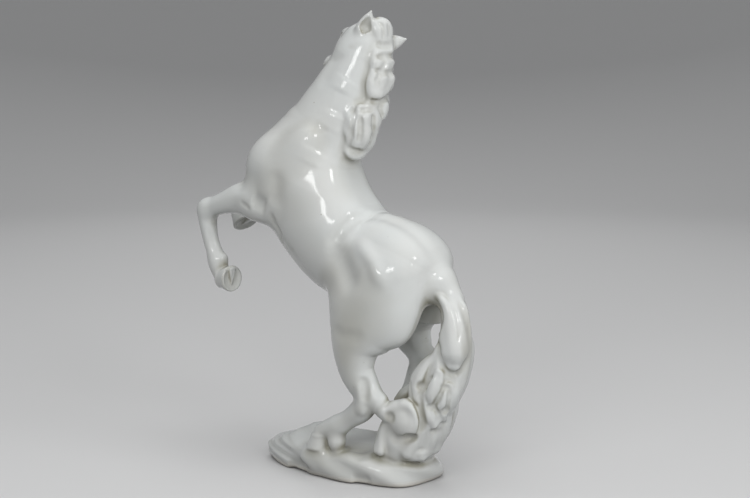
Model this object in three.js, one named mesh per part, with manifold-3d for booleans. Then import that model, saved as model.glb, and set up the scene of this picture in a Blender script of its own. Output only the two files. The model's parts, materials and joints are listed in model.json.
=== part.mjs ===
// A rearing horse on a rock plinth: a white porcelain figurine luted together from separate castings.
// Millimetres, +Z up. The horse faces -X, its left side is -Y, and the plinth stands on z = 0.
// Trunk, neck and plinth are hollow castings. Limbs, head, ears, mane and tail are solid ones.
// A limb joins its neighbour on a flat seam with a locating peg; hair and ears sit on the surface
// that carries them. Every seam keeps the thin gap that the joining slip fills.

import * as THREE from "three";
import { mergeVertices } from "three/addons/utils/BufferGeometryUtils.js";
import Module from "manifold-3d";

const wasm = await Module();
wasm.setup();

// Driving dimensions: seams, shells and pegs
const SEAM = 0.3; // slip joint between two castings
const SHELL_WALL = 4.5; // wall of the hollow trunk and neck
const PEG_RADIUS = 3;
const PEG_LENGTH = 6;
const PEG_CLEARANCE = 0.3;
const VENT_RADIUS = 2; // firing vent in the groin

// Driving dimensions: the rock plinth
const PLINTH_LENGTH = 122;
const PLINTH_WIDTH = 64;
const PLINTH_HEIGHT = 18;
const PLINTH_EDGE = 6; // rounding of the rock's rim
const FRONT_DROP = 5; // how far the rock falls away towards its front end
const PLINTH_RIM = 6; // width of the foot rim round the hollow underside
const PLINTH_RECESS = 10; // depth of the hollow underside
const HOOF_PAD = 0.8; // flat margin of rock round each standing hoof

// Driving dimensions: hooves and ears
const HOOF_HEIGHT = 9.5;
const HOOF_RADIUS = 8.6;
const CORONET_RADIUS = 6.4;
const STANDING_CORONET = 7.6; // height of a standing hoof's coronet over the ground
const SOLE_DEPTH = 1.6; // hollow of a raised sole
const SOLE_RIM = 2; // wall of the hoof round that hollow
const EAR_LENGTH = 14.5;
const EAR_RADIUS = 4.4;

// The plinth's middle under the horse, and the shift that puts the origin under the middle of the figure
const PLINTH_MIDDLE_X = -5;
const FIGURE_SHIFT_X = 13.35;

// Mesh fineness: points round a section, and rings between two stations
const BODY_SIDES = 18;
const LIMB_SIDES = 12;
const LOCK_SIDES = 7;
const RINGS_PER_SPAN = 2;
const OUTLINE_POINTS = 48;

const ACROSS = new THREE.Vector3(0, 1, 0);
const DOWN = new THREE.Vector3(0, 0, -1);
const glaze = () => new THREE.MeshStandardMaterial({ color: 0xe9ebe6, roughness: 0.12, metalness: 0 });

// Stations of a loft: x, y, z of the section's middle, half width across the horse, half depth.
// The horse's own z = 0 is the ground that its hind hooves stand on.
const TRUNK = [
  [58, 0, 101, 10, 10],
  [51, 0, 105.5, 21, 18],
  [40, 0, 110.5, 25.5, 24.5],
  [25, 0, 113.5, 26, 27.5],
  [9, 0, 115.5, 27, 30.5],
  [-6, 0, 122.8, 28.5, 33.2],
  [-20, 0, 135.5, 28.5, 34],
  [-34, 0, 150, 27, 33],
  [-47, 0, 161.5, 23.5, 28],
  [-59, 0, 167.5, 17, 20],
  [-67, 0, 169, 9, 10],
];
const NECK = [
  [-36.8, 0, 164.8, 28, 35],
  [-27.5, 0, 182, 24, 30.5],
  [-20.5, 0.5, 194, 18.5, 25.3],
  [-14, 2, 206.5, 15, 22.3],
  [-8.5, 4.5, 219.5, 13.5, 19],
  [-3.2, 7.5, 231.5, 12.5, 15],
  [0, 10.5, 241, 11.5, 12],
  [0.5, 11.3, 245, 8.5, 8.5],
];
const HEAD = [
  [4, 9, 246, 8, 8],
  [-1, 11.4, 243.8, 11.5, 10.5],
  [-8.8, 15.2, 240.3, 12, 13],
  [-16.8, 19, 236.7, 10, 12.2],
  [-25.5, 23.2, 232.8, 7.6, 9],
  [-32.8, 26.7, 229.5, 6.6, 7.4],
  [-37.9, 29.2, 227.3, 6.8, 7.2],
  [-43, 31.6, 225, 4, 4],
];
const HEAD_ACROSS = new THREE.Vector3(0.45, 0.7, -0.55);

const LEFT_FOREARM = [
  [-44, -15, 146, 12, 15],
  [-60, -18, 147, 11.5, 14.2],
  [-74, -19, 146.8, 9, 10.2],
  [-86, -20, 143.8, 7.2, 7.2],
  [-94.5, -20, 141, 6.6, 6.2],
  [-101.5, -20, 139, 6, 5.4],
];
const LEFT_FORE_CANNON = [
  [-99, -20, 140.5, 5.6, 5],
  [-100.6, -20, 133, 6, 5.6],
  [-98.6, -20, 121, 5, 5],
  [-95.6, -20, 112.5, 5, 5.2],
  [-92.8, -20, 106, 6, 6.6],
  [-90.6, -20, 99.5, 5.4, 5.4],
  [-88.5, -20, 96, 5, 5],
];
const RIGHT_FOREARM = [
  [-44, 15, 146, 12, 15],
  [-54, 18, 153, 11, 12.5],
  [-64, 20, 161, 9, 9.5],
  [-73, 20.5, 168, 7, 7],
  [-80, 21, 173, 6, 5.6],
];
const RIGHT_FORE_CANNON = [
  [-77, 21, 175, 5.6, 5],
  [-82.5, 21, 166, 6, 5.6],
  [-89, 20.7, 156.5, 5, 5],
  [-95, 20.5, 149, 5, 5.2],
  [-100, 20.5, 142.5, 6, 6.4],
  [-104.5, 20.5, 136.5, 5.4, 5.4],
  [-106, 20.5, 134, 5, 5],
];
const LEFT_THIGH = [
  [38, -8, 118, 15, 22],
  [34.5, -13, 108, 17, 26.5],
  [29.3, -17, 95.5, 16.5, 29.7],
  [24, -20.5, 82.5, 14.5, 29.5],
  [19.5, -23, 71, 12.5, 21.5],
  [17.2, -24.3, 61, 10.5, 15],
  [18.5, -24.5, 50, 8.8, 11.5],
  [24, -24.5, 41, 7.4, 9.8],
  [29, -24.5, 35, 6.6, 8.2],
  [34, -24.5, 31, 4.6, 5],
];
const LEFT_HIND_CANNON = [
  [29, -24.5, 36, 6, 7],
  [22, -24.5, 27, 6.6, 7.4],
  [12.5, -24.3, 19.8, 5.4, 6],
  [4, -24, 14.5, 6.2, 6.8],
  [-3, -24, 11.8, 5.6, 5.6],
  [-8, -24, 9, 5.2, 5.2],
];
const RIGHT_THIGH = [
  [38, 9, 118, 15, 21.5],
  [33.5, 14, 108.5, 17, 25],
  [30, 19, 98, 16, 27],
  [27, 21, 87, 14, 25.5],
  [24.5, 22.5, 77, 12, 22],
  [26, 23, 66.5, 9.8, 14.5],
  [31, 22.5, 58, 8, 10],
  [36, 21.8, 53, 6.6, 7.8],
  [41, 21.5, 50, 4.6, 5],
];
const RIGHT_HIND_CANNON = [
  [36, 21.8, 55, 6, 7],
  [32, 21.5, 44, 6.4, 7],
  [27, 21.2, 32, 5.4, 5.8],
  [22, 21, 21, 6.2, 6.8],
  [17.5, 21, 14.5, 5.6, 5.6],
  [14, 21, 9.5, 5.2, 5.2],
];
const TAIL = [
  [50, 0, 103, 8, 7.5],
  [60, 0, 104.5, 8.5, 7.5],
  [67, 0, 98, 8, 7.5],
  [71.5, -1, 88, 8.5, 7.8],
  [73, -2, 76, 10, 8.2],
  [71.5, -3, 63, 12, 9.6],
  [66.5, -3, 49, 14, 11],
  [60.5, -2, 34, 15, 10.5],
  [53, -1, 17, 15, 9.5],
  [47, 0, 3, 15, 10],
];

// Hooves: middle of the coronet, way from coronet to sole
const HOOVES = {
  left_foreleg: { coronet: [-89, -20, 96], toSole: [0.93, -0.3, -0.12] },
  right_foreleg: { coronet: [-107, 20.5, 132.8], toSole: [0.6, -0.2, -0.77] },
  left_hind_leg: { coronet: [-8.5, -23, STANDING_CORONET], toSole: [-0.25, 0, -1] },
  right_hind_leg: { coronet: [13, 21, STANDING_CORONET], toSole: [-0.25, 0, -1] },
};

const STANDING = ["left_hind_leg", "right_hind_leg"];

// Ears: root, way that the tip points, way that the hollow faces; sections as shares of length and radius
const EARS = {
  left_ear: { root: [2.4, 5, 249.5], way: [6.2, -1, 12.2], open: [0.45, -0.85, -0.25] },
  right_ear: { root: [9, 17.5, 242], way: [9, 11.5, 3.6], open: [-0.65, 0.75, 0.08] },
};
const EAR_PROFILE = [[-0.2, 1, 0.8], [0.12, 1.25, 0.9], [0.4, 1.1, 0.75], [0.72, 0.66, 0.5], [1, 0.14, 0.18]];

// Muscles and joints: x, y, z of the middle, then half sizes along x, y and z
const TRUNK_MUSCLES = [
  [-54, -14.5, 165, 16.2, 12, 19.5],
  [-54, 14.5, 165, 16.2, 12, 19.5],
  [-46.5, -20, 160, 8, 7.5, 14],
  [-46.5, 20, 160, 8, 7.5, 14],
];
const CROUP_MUSCLES = [
  [47.5, 8.5, 110, 13, 13, 14.5],
  [57, 0, 106, 10.5, 10.5, 8.5],
];
const JOINTS = {
  left_foreleg: [[-99.5, -20, 139, 6, 6.6, 6.4]],
  right_foreleg: [[-79.5, 21, 171.5, 6, 6.6, 6.4]],
  left_hind_leg: [[35.5, -24.5, 33.5, 4.6, 4.8, 5.2], [3, -24, 5.5, 5.6, 5.8, 7.5]],
  right_hind_leg: [[42, 21.5, 52, 4.6, 4.8, 5.2], [22, 21, 5.5, 5.2, 5.6, 7]],
};
const HEAD_FORMS = [
  [-15.8, 13, 248.5, 4.5, 3.8, 4],
  [-5, 25.6, 239, 4.5, 3.8, 4],
  [-10.8, 5.9, 240.3, 8, 7, 8],
  [-2.4, 15.7, 232.7, 8, 7, 8],
];

// Seams: the place on a loft, counted in stations, where one casting ends and the next begins
const NECK_SEAM = 1.05;
const FORELEG_SEAM = { left: 1.8, right: 2.5 };
const HIND_LEG_SEAM = { left: 4.85, right: 4.35 };
const TAIL_SEAM = 1.2;
const GROIN_STATION = 3;

// Locks of hair: x, y, z and radius along each lock
const LOCKS = {
  forelock: [
    [[9, 8, 255.5, 2.5], [10.5, 10, 255.5, 3.6], [12.5, 12, 254, 4.4], [13, 14, 250, 4.4],
      [13, 14.5, 245, 3.4]],
    [[10, 7, 254.5, 2.5], [11, 8, 251.5, 3.8], [11.5, 9.5, 248, 4.2], [11.5, 10.5, 244, 3.4]],
  ],
  mane_upper: [
    [[13.5, 14, 244, 3], [14, 14, 238.5, 4.4], [14.5, 13.5, 232.5, 4.8], [14.5, 12.5, 228, 3.6]],
    [[14.5, 13.5, 229, 3], [15, 13, 223.5, 4.8], [14, 11, 217.5, 5.2], [13, 8, 213, 4.8], [12.5, 6, 210, 3]],
    [[11.5, 9, 241.5, 3.2], [11.5, 7, 237.5, 4.6], [12, 5, 231.5, 5], [12.5, 3.5, 225.5, 3.8]],
    [[12.5, 7, 229.5, 3], [12.5, 4, 224, 4.2], [12.5, 2, 218.5, 4.2], [13.5, 1.5, 214.5, 4.2],
      [15, 2.5, 212, 2.8]],
    [[13, 11.5, 239.5, 3.6], [13, 10, 232.5, 4.6], [13, 9, 225, 4.6], [13, 7, 218.5, 3.6]],
    [[10, 15, 246, 3], [7, 20, 241, 5.5], [5, 22, 235, 5], [4, 21.5, 229, 3]],
    [[12, 14, 234, 3], [9, 18, 227, 6], [7, 18.5, 220, 5], [5, 17, 214, 3]],
  ],
  mane_middle: [
    [[12, 11, 211.5, 3.6], [12, 10.5, 206.5, 5.2], [11.5, 9, 201.5, 5.2], [10, 7, 197.5, 3.8]],
    [[12.5, 5, 210, 3.6], [11, 1, 207, 4.8], [9, -3, 206, 4.2], [7.5, -7, 207, 2.8]],
    [[11, 7, 204, 3.6], [11, 4, 199.5, 5], [10.5, 4, 194.5, 4.8], [10, 5, 191, 3.2]],
    [[10.5, -1, 202.5, 3.4], [10, -3.5, 199, 4.6], [9, -3.5, 195, 4.6], [9.5, -2.5, 192, 3]],
    [[11, 12, 216, 3], [8, 15.5, 209, 6], [5, 16, 202, 5.5], [3, 15, 196, 3]],
  ],
  mane_lower: [
    [[4.5, -8, 204.5, 2.2], [3, -9, 201, 3.2], [3, -9.5, 196.5, 4.2], [3.5, -9.5, 191.5, 4.4],
      [3, -9.5, 186.5, 3.8], [0.5, -9, 182.5, 2.8]],
    [[7, -6, 201.5, 2.4], [6, -6.5, 196.5, 3.2], [6, -6, 191.5, 3.4], [4.5, -5.5, 186, 3.4],
      [2.5, -5.5, 181.5, 2.8]],
    [[9.5, 5, 191, 3.2], [7.5, 4.5, 186.5, 4.4], [5.5, 3.5, 182.5, 4.6], [3.5, 1.5, 180, 3.6]],
    [[9, -3, 191.5, 3], [8.5, -2.5, 186.5, 4], [6, -2.5, 182, 3.2]],
    [[0.5, -9.5, 180, 3], [1.5, -8, 178, 4.2], [2.5, -3, 177, 4.6], [3, 1.5, 178.5, 4.4], [3, 4.5, 181, 3.4]],
    [[6, 10, 199, 3], [3.5, 11.5, 193, 5], [0.5, 11, 186, 4.5], [-1.5, 9.5, 180, 2.5]],
  ],
  tail: [
    [[72, -6, 95.5, 3.5], [75, -7.5, 87, 5], [76.5, -8.5, 77, 7], [77.5, -9.5, 66, 8], [77, -9.5, 58.5, 5.5]],
    [[78, -2, 92, 3], [79, -2, 84, 4], [80, -3, 69.5, 5], [79, -4, 55.5, 5], [76.5, -5, 45.5, 4.8],
      [73.5, -5.5, 37.5, 4.2], [71.5, -4.5, 31.5, 2.5]],
    [[61.5, -7, 100, 2], [67.5, -9, 96.5, 2.4], [72.5, -10, 91, 2.8], [74, -11, 83.5, 2.8],
      [71.5, -12, 75, 2.6], [68, -12.5, 66.5, 2.4], [64, -13, 60, 2]],
    [[69, 6, 84, 3], [73, 8, 66, 6], [70, 9, 48, 6], [64, 9, 32, 5], [59, 9, 18, 3]],
    [[60, 6, 72, 3], [61, 10, 58, 5.5], [57, 12, 42, 6], [52, 12, 26, 5.5], [47, 11, 12, 4]],
    [[68, 4, 36, 3], [64, 7, 26, 5.5], [58.5, 8, 14, 5.5], [53, 8, 4, 4]],
  ],
  tail_scroll: [
    [[66.5, -11, 63, 3], [61.5, -13, 58, 4], [57.5, -14.5, 51, 5.2], [55.5, -15.5, 44, 5.4],
      [55.5, -16, 37, 5], [57, -16.5, 29.5, 4.8], [57, -16.5, 21, 4.8], [54.5, -16.5, 12.5, 5],
      [50, -17, 4, 5.5]],
    [[55.5, -20, 33, 3.2], [51.5, -22, 33.5, 3.8], [47, -24, 32.5, 4], [42.5, -25, 31, 4.4],
      [38.5, -25, 28, 5], [40, -24.5, 25.5, 4.2]],
    [[39, -23.5, 25, 4.2], [35.5, -22.5, 19, 4.2], [34, -22, 12, 4.6], [33.5, -22, 3.5, 5.4]],
    [[50, -22, 33.5, 3], [55.5, -22, 31.5, 3.4], [57.5, -21.5, 27, 3.6], [57, -21.5, 21.5, 3.6],
      [53, -21.5, 16.5, 3.6], [47.5, -21.5, 13.5, 3.4]],
    [[50, -9.5, 42, 4], [43.5, -9.5, 36.5, 4.6], [39, -9.5, 32, 4]],
    [[36, -18, 3, 5.2], [43, -17, 4.5, 5.8], [50, -15.5, 5, 5.8], [56.5, -12.5, 4, 5]],
  ],
  tail_switch: [
    [[71, -15, 54, 3], [69, -16, 46.5, 4.6], [66.5, -16.5, 40, 4.6], [65.5, -16.5, 35, 3]],
    [[75, -12.5, 46, 3], [72.5, -13, 38.5, 4.6], [70.5, -12.5, 31, 4.6], [69.5, -11, 25.5, 3.2]],
    [[76.5, -7, 50, 3], [75.5, -8.5, 42, 4.6], [73.5, -8, 35.5, 4.6], [72, -6, 30.5, 3]],
    [[63.5, -15.5, 35, 3.2], [65.5, -15, 28, 4.8], [66.5, -13.5, 21.5, 4]],
    [[69.5, -6, 28, 3.5], [67.5, -5.5, 21.5, 4.8], [64.5, -4, 14, 4.8], [61, -3, 8.5, 3.5]],
    [[65.5, -11.5, 21, 3], [63, -10.5, 13.5, 4.2], [58.5, -10, 6, 4.4], [53.5, -9.5, 0, 4.4]],
    [[61, -16.5, 44, 3], [61, -17, 36, 4.2], [61.5, -16.5, 28, 4.4], [60.5, -15, 19, 4.4], [57, -13.5, 10, 4]],
  ],
};

// The mass of hair under the locks, as stations
const HAIR_MASS = {
  mane_upper: [
    [9.5, 12.5, 250, 4.2, 3.6], [10, 12, 244, 6.4, 4.8], [10, 11, 238, 7.2, 5.2], [10, 9.5, 230, 7.6, 5.6],
    [9.5, 8.5, 222, 7.6, 5.6], [8.5, 7.5, 216, 6, 4],
  ],
  mane_middle: [
    [8.5, 7.5, 216, 5.1, 3.6], [7.8, 6, 209, 7.6, 5.2], [6, 5, 201, 8.5, 5.2], [4.5, 4, 194, 7.6, 4.4],
  ],
  mane_lower: [[4, 3, 200, 6, 3.6], [3, 1.5, 192, 8.5, 4.8], [1, 0.5, 184, 9, 4.8], [0, 0, 178, 7.6, 3.6]],
  tail_scroll: [
    [57, -15, 46, 4.2, 3.6], [55.5, -16, 36, 5.5, 4], [53, -17.5, 26, 7.2, 4.4], [47.5, -18.5, 17, 7.6, 4.4],
    [42, -19, 9, 6.8, 4.4], [38, -19.5, 1, 6, 4],
  ],
  tail_switch: [
    [70, -8, 56, 5.1, 4], [68, -8.5, 45, 7.6, 5.6], [66, -7.5, 33, 8.5, 6.4], [62, -6.5, 20, 8.5, 6.4],
    [58, -6, 6, 7.6, 5.6],
  ],
};
// The round body of the scroll: x, y, z of the middle, then half sizes
const SCROLL_BODY = [49, -20.5, 24, 10, 6.8, 10.5];
const MANE = ["forelock", "mane_upper", "mane_middle", "mane_lower"];
const TAIL_ENDS = ["tail_scroll", "tail_switch"];

// Plinth outline as shares of its half length and half width
const PLINTH_OUTLINE = [
  [-1, 0.05], [-0.93, -0.3], [-0.6, -0.68], [-0.1, -0.95], [0.4, -0.96], [0.84, -0.7],
  [1, -0.1], [0.94, 0.62], [0.6, 0.96], [0.05, 1], [-0.5, 0.9], [-0.88, 0.55],
];
// Rock humps: x, y from the plinth's middle, half sizes along x, y and z
const ROCK_HUMPS = [
  [-30, -2, 16, 18, 3],
  [-26, 14, 18, 13, 3],
  [26, 8, 20, 18, 2],
  [4, 16, 24, 12, 2.5],
];

// One solid from a closed geometry: only positions are kept, and shared vertices are welded.
function solidOf(geometry) {
  geometry.deleteAttribute("normal");
  geometry.deleteAttribute("uv");
  const welded = mergeVertices(geometry, 1e-4);
  const vertProperties = new Float32Array(welded.attributes.position.array);
  const triVerts = new Uint32Array(welded.index.array);
  return new wasm.Manifold(new wasm.Mesh({ numProp: 3, vertProperties, triVerts }));
}

function meshOf(name, solid) {
  const { vertProperties, triVerts } = solid.getMesh();
  const geometry = new THREE.BufferGeometry();
  geometry.setAttribute("position", new THREE.BufferAttribute(vertProperties, 3));
  geometry.setIndex(new THREE.BufferAttribute(triVerts, 1));
  const mesh = new THREE.Mesh(geometry, glaze());
  mesh.name = name;
  return mesh;
}

const union = (solids) => solids.reduce((whole, next) => whole.add(next));

// Smooth centreline and section sizes of a loft, read at a place counted in stations.
function spineOf(stations, across = ACROSS) {
  const last = stations.length - 1;
  const middles = stations.map(([x, y, z]) => new THREE.Vector3(x, y, z));
  const curve = new THREE.CatmullRomCurve3(middles, false, "catmullrom");
  const sizes = new THREE.SplineCurve(stations.map(([, , , wide, deep]) => new THREE.Vector2(wide, deep)));
  return (place) => {
    const share = place / last;
    const along = curve.getTangent(share);
    const side = across.clone().addScaledVector(along, -across.dot(along)).normalize();
    const depth = along.clone().cross(side);
    const size = sizes.getPoint(share);
    return { middle: curve.getPoint(share), along, side, depth, wide: size.x, deep: size.y };
  };
}

// A closed loft of elliptical sections; grow widens each section and lengthens both ends by the same amount.
function loft(stations, { across = ACROSS, sides = LIMB_SIDES, rings = RINGS_PER_SPAN, grow = 0 } = {}) {
  const at = spineOf(stations, across);
  const last = stations.length - 1;
  const count = last * rings;
  const points = [];
  const ends = [];
  const faces = [];
  for (let ring = 0; ring <= count; ring++) {
    const { middle, along, side, depth, wide, deep } = at((ring / count) * last);
    if (grow > 0) middle.addScaledVector(along, grow * ((ring === count) - (ring === 0)));
    if (ring === 0 || ring === count) ends.push(middle);
    for (let i = 0; i < sides; i++) {
      const angle = (2 * Math.PI * i) / sides;
      const point = middle.clone();
      point.addScaledVector(side, (wide + grow) * Math.cos(angle));
      point.addScaledVector(depth, (deep + grow) * Math.sin(angle));
      points.push(point);
    }
  }
  const start = points.push(ends[0]) - 1;
  const end = points.push(ends[1]) - 1;
  for (let i = 0; i < sides; i++) {
    const j = (i + 1) % sides;
    for (let ring = 0; ring < count; ring++) {
      const low = ring * sides;
      const high = low + sides;
      faces.push(low + i, low + j, high + j, low + i, high + j, high + i);
    }
    faces.push(start, j, i, end, count * sides + i, count * sides + j);
  }
  return solidOf(new THREE.BufferGeometry().setFromPoints(points).setIndex(faces));
}

function ellipsoid([x, y, z, a, b, c], grow = 0) {
  const ball = new THREE.SphereGeometry(1, LIMB_SIDES, LOCK_SIDES);
  ball.scale(a + grow, b + grow, c + grow);
  ball.translate(x, y, z);
  return solidOf(ball);
}

// The turn that brings a form made along +Y to lie along a direction.
function turnTo(way) {
  return new THREE.Quaternion().setFromUnitVectors(ACROSS, way);
}

// A round bar from a point along a direction.
function bar(start, way, length, radius) {
  const geometry = new THREE.CylinderGeometry(radius, radius, length, LIMB_SIDES);
  geometry.translate(0, length / 2, 0);
  geometry.applyQuaternion(turnTo(way));
  geometry.translate(start.x, start.y, start.z);
  return solidOf(geometry);
}

// A lock of hair: a tapering round tube through its points.
function lock(points, grow = 0) {
  return loft(points.map(([x, y, z, radius]) => [x, y, z, radius, radius]), { sides: LOCK_SIDES, grow });
}

// The part of a solid beyond a seam's plane, or before it, half a seam clear of the plane.
function beyond(solid, { middle, along }) {
  return solid.trimByPlane(along.toArray(), middle.dot(along) + SEAM / 2);
}
function before(solid, { middle, along }) {
  return solid.trimByPlane(along.clone().negate().toArray(), -middle.dot(along) + SEAM / 2);
}

// The peg that locates a casting beyond its seam, and the socket for it before the seam.
function peg({ middle, along }) {
  const root = middle.clone().addScaledVector(along, SEAM);
  return bar(root, along.clone().negate(), PEG_LENGTH + SEAM, PEG_RADIUS);
}
function socket({ middle, along }) {
  const depth = PEG_LENGTH + PEG_CLEARANCE + SEAM;
  const mouth = middle.clone().addScaledVector(along, SEAM);
  return bar(mouth, along.clone().negate(), depth, PEG_RADIUS + PEG_CLEARANCE);
}

// A hoof's place: the way from coronet to sole, and the middle of the sole.
function hoofPlace({ coronet, toSole }) {
  const way = new THREE.Vector3(...toSole).normalize();
  return { way, sole: new THREE.Vector3(...coronet).addScaledVector(way, HOOF_HEIGHT) };
}

// A hoof: a cone that widens from the coronet to a flat sole.
function hoof(place, grow = 0) {
  const top = -CORONET_RADIUS / 2;
  const wall = [[CORONET_RADIUS / 2, top], [CORONET_RADIUS, 0], [HOOF_RADIUS, HOOF_HEIGHT]];
  const corners = [[0, top], ...wall, [0, HOOF_HEIGHT]];
  const profile = corners.map(([radius, height]) => new THREE.Vector2(radius && radius + grow, height));
  const cone = new THREE.LatheGeometry(profile, LIMB_SIDES);
  cone.applyQuaternion(turnTo(hoofPlace(place).way));
  return solidOf(cone.translate(...place.coronet));
}

// The shallow hollow of a raised sole.
function soleHollow(place) {
  const { way, sole } = hoofPlace(place);
  const cup = new THREE.SphereGeometry(1, LIMB_SIDES, 8);
  cup.scale(HOOF_RADIUS - SOLE_RIM, SOLE_DEPTH, HOOF_RADIUS - SOLE_RIM);
  cup.applyQuaternion(turnTo(way));
  return solidOf(cup.translate(sole.x, sole.y, sole.z));
}

const aboveGround = (solid) => solid.trimByPlane([0, 0, 1], SEAM);

// Outer shapes, each as a function of how far it is grown
const seams = {
  neck: spineOf(NECK)(NECK_SEAM),
  left_foreleg: spineOf(LEFT_FOREARM)(FORELEG_SEAM.left),
  right_foreleg: spineOf(RIGHT_FOREARM)(FORELEG_SEAM.right),
  left_hind_leg: { middle: spineOf(LEFT_THIGH)(HIND_LEG_SEAM.left).middle, along: DOWN },
  right_hind_leg: { middle: spineOf(RIGHT_THIGH)(HIND_LEG_SEAM.right).middle, along: DOWN },
  tail: spineOf(TAIL)(TAIL_SEAM),
};
const limbs = {
  left_foreleg: [LEFT_FOREARM, LEFT_FORE_CANNON],
  right_foreleg: [RIGHT_FOREARM, RIGHT_FORE_CANNON],
  left_hind_leg: [LEFT_THIGH, LEFT_HIND_CANNON],
  right_hind_leg: [RIGHT_THIGH, RIGHT_HIND_CANNON],
};
const limbNames = Object.keys(limbs);

const barrel = (grow = 0) => loft(TRUNK, { sides: BODY_SIDES, grow });
const neckForm = (grow = 0) => loft(NECK, { sides: BODY_SIDES, grow });
const core = (stations) => loft(stations, { rings: 1, grow: -SHELL_WALL });
const body = (grow = 0) => {
  const croup = CROUP_MUSCLES.map((muscle) => before(ellipsoid(muscle, grow), seams.tail));
  return union([barrel(grow), ...TRUNK_MUSCLES.map((muscle) => ellipsoid(muscle, grow)), ...croup]);
};
const headForm = (grow = 0) => {
  const skull = loft(HEAD, { across: HEAD_ACROSS, sides: BODY_SIDES, grow });
  return union([skull, ...HEAD_FORMS.map((form) => ellipsoid(form, grow))]);
};
const legForm = (limb, grow = 0) => {
  const [upper, lower] = limbs[limb];
  const bones = [beyond(loft(upper, { grow }), seams[limb]), loft(lower, { grow }), hoof(HOOVES[limb], grow)];
  return union([...bones, ...JOINTS[limb].map((joint) => ellipsoid(joint, grow))]);
};
const earForm = ({ root, way, open }, grow = 0) => {
  const stations = EAR_PROFILE.map(([share, wide, deep]) => {
    const toTip = new THREE.Vector3(...way).normalize();
    const middle = new THREE.Vector3(...root).addScaledVector(toTip, share * EAR_LENGTH);
    return [...middle.toArray(), wide * EAR_RADIUS, deep * EAR_RADIUS];
  });
  const across = new THREE.Vector3(...way).cross(new THREE.Vector3(...open));
  return loft(stations, { across, sides: LOCK_SIDES, grow });
};
const hairForm = (name, grow = 0) => {
  const mass = HAIR_MASS[name] ? [loft(HAIR_MASS[name], { grow })] : [];
  const roll = name === "tail_scroll" ? [ellipsoid(SCROLL_BODY, grow)] : [];
  return union([...mass, ...roll, ...LOCKS[name].map((points) => lock(points, grow))]);
};
const tailStock = (grow = 0) => beyond(loft(TAIL, { grow }), seams.tail).add(hairForm("tail", grow));

// A piece cut back from the grown shapes of the pieces that carry it.
const clearOf = (solid, carriers) => carriers.reduce((rest, carrier) => rest.subtract(carrier), solid);

function makeTrunk() {
  const stubs = limbNames.map((limb) => before(loft(limbs[limb][0]), seams[limb]));
  const dock = before(loft(TAIL), seams.tail);
  const hollow = core(TRUNK).add(core(NECK));
  const groin = TRUNK[GROIN_STATION];
  const ventTop = new THREE.Vector3(groin[0], groin[1], groin[2]);
  const vent = bar(ventTop, DOWN, groin[4] + 2 * SHELL_WALL, VENT_RADIUS);
  const whole = union([body(), neckForm(), dock, ...stubs]);
  const cuts = [hollow, vent, ...[...limbNames, "tail"].map((name) => socket(seams[name]))];
  return clearOf(before(whole, seams.neck), cuts);
}

function makeNeck() {
  return clearOf(beyond(neckForm(), seams.neck), [core(NECK), headForm(SEAM)]);
}

function makeLeg(limb) {
  const whole = clearOf(legForm(limb), [body(SEAM)]).add(peg(seams[limb]));
  return STANDING.includes(limb) ? aboveGround(whole) : whole.subtract(soleHollow(HOOVES[limb]));
}

// Pieces in the order in which they are fitted: each one clears what was fitted before it.
function makeHair() {
  const made = {};
  const ears = Object.values(EARS).map((ear) => earForm(ear, SEAM));
  const carriers = [neckForm(SEAM), headForm(SEAM), body(SEAM), ...ears];
  for (const name of MANE) {
    made[name] = clearOf(hairForm(name), carriers);
    carriers.push(hairForm(name, SEAM));
  }
  return made;
}

function makeTail() {
  const made = {};
  const carriers = [body(SEAM), legForm("left_hind_leg", SEAM), legForm("right_hind_leg", SEAM)];
  made.tail = aboveGround(clearOf(tailStock(), carriers)).add(peg(seams.tail));
  carriers.push(tailStock(SEAM));
  for (const name of TAIL_ENDS) {
    made[name] = aboveGround(clearOf(hairForm(name), carriers));
    carriers.push(hairForm(name, SEAM));
  }
  return made;
}

function plinthOutline(inset) {
  const reach = new THREE.Vector3(PLINTH_LENGTH / 2 - inset, PLINTH_WIDTH / 2 - inset, 0);
  const corners = PLINTH_OUTLINE.map(([x, y]) => new THREE.Vector3(x, y, 0).multiply(reach));
  const curve = new THREE.CatmullRomCurve3(corners, true, "catmullrom");
  const points = curve.getPoints(OUTLINE_POINTS).slice(0, -1);
  return new THREE.Shape(points.map(({ x, y }) => new THREE.Vector2(x, y)));
}

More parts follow.
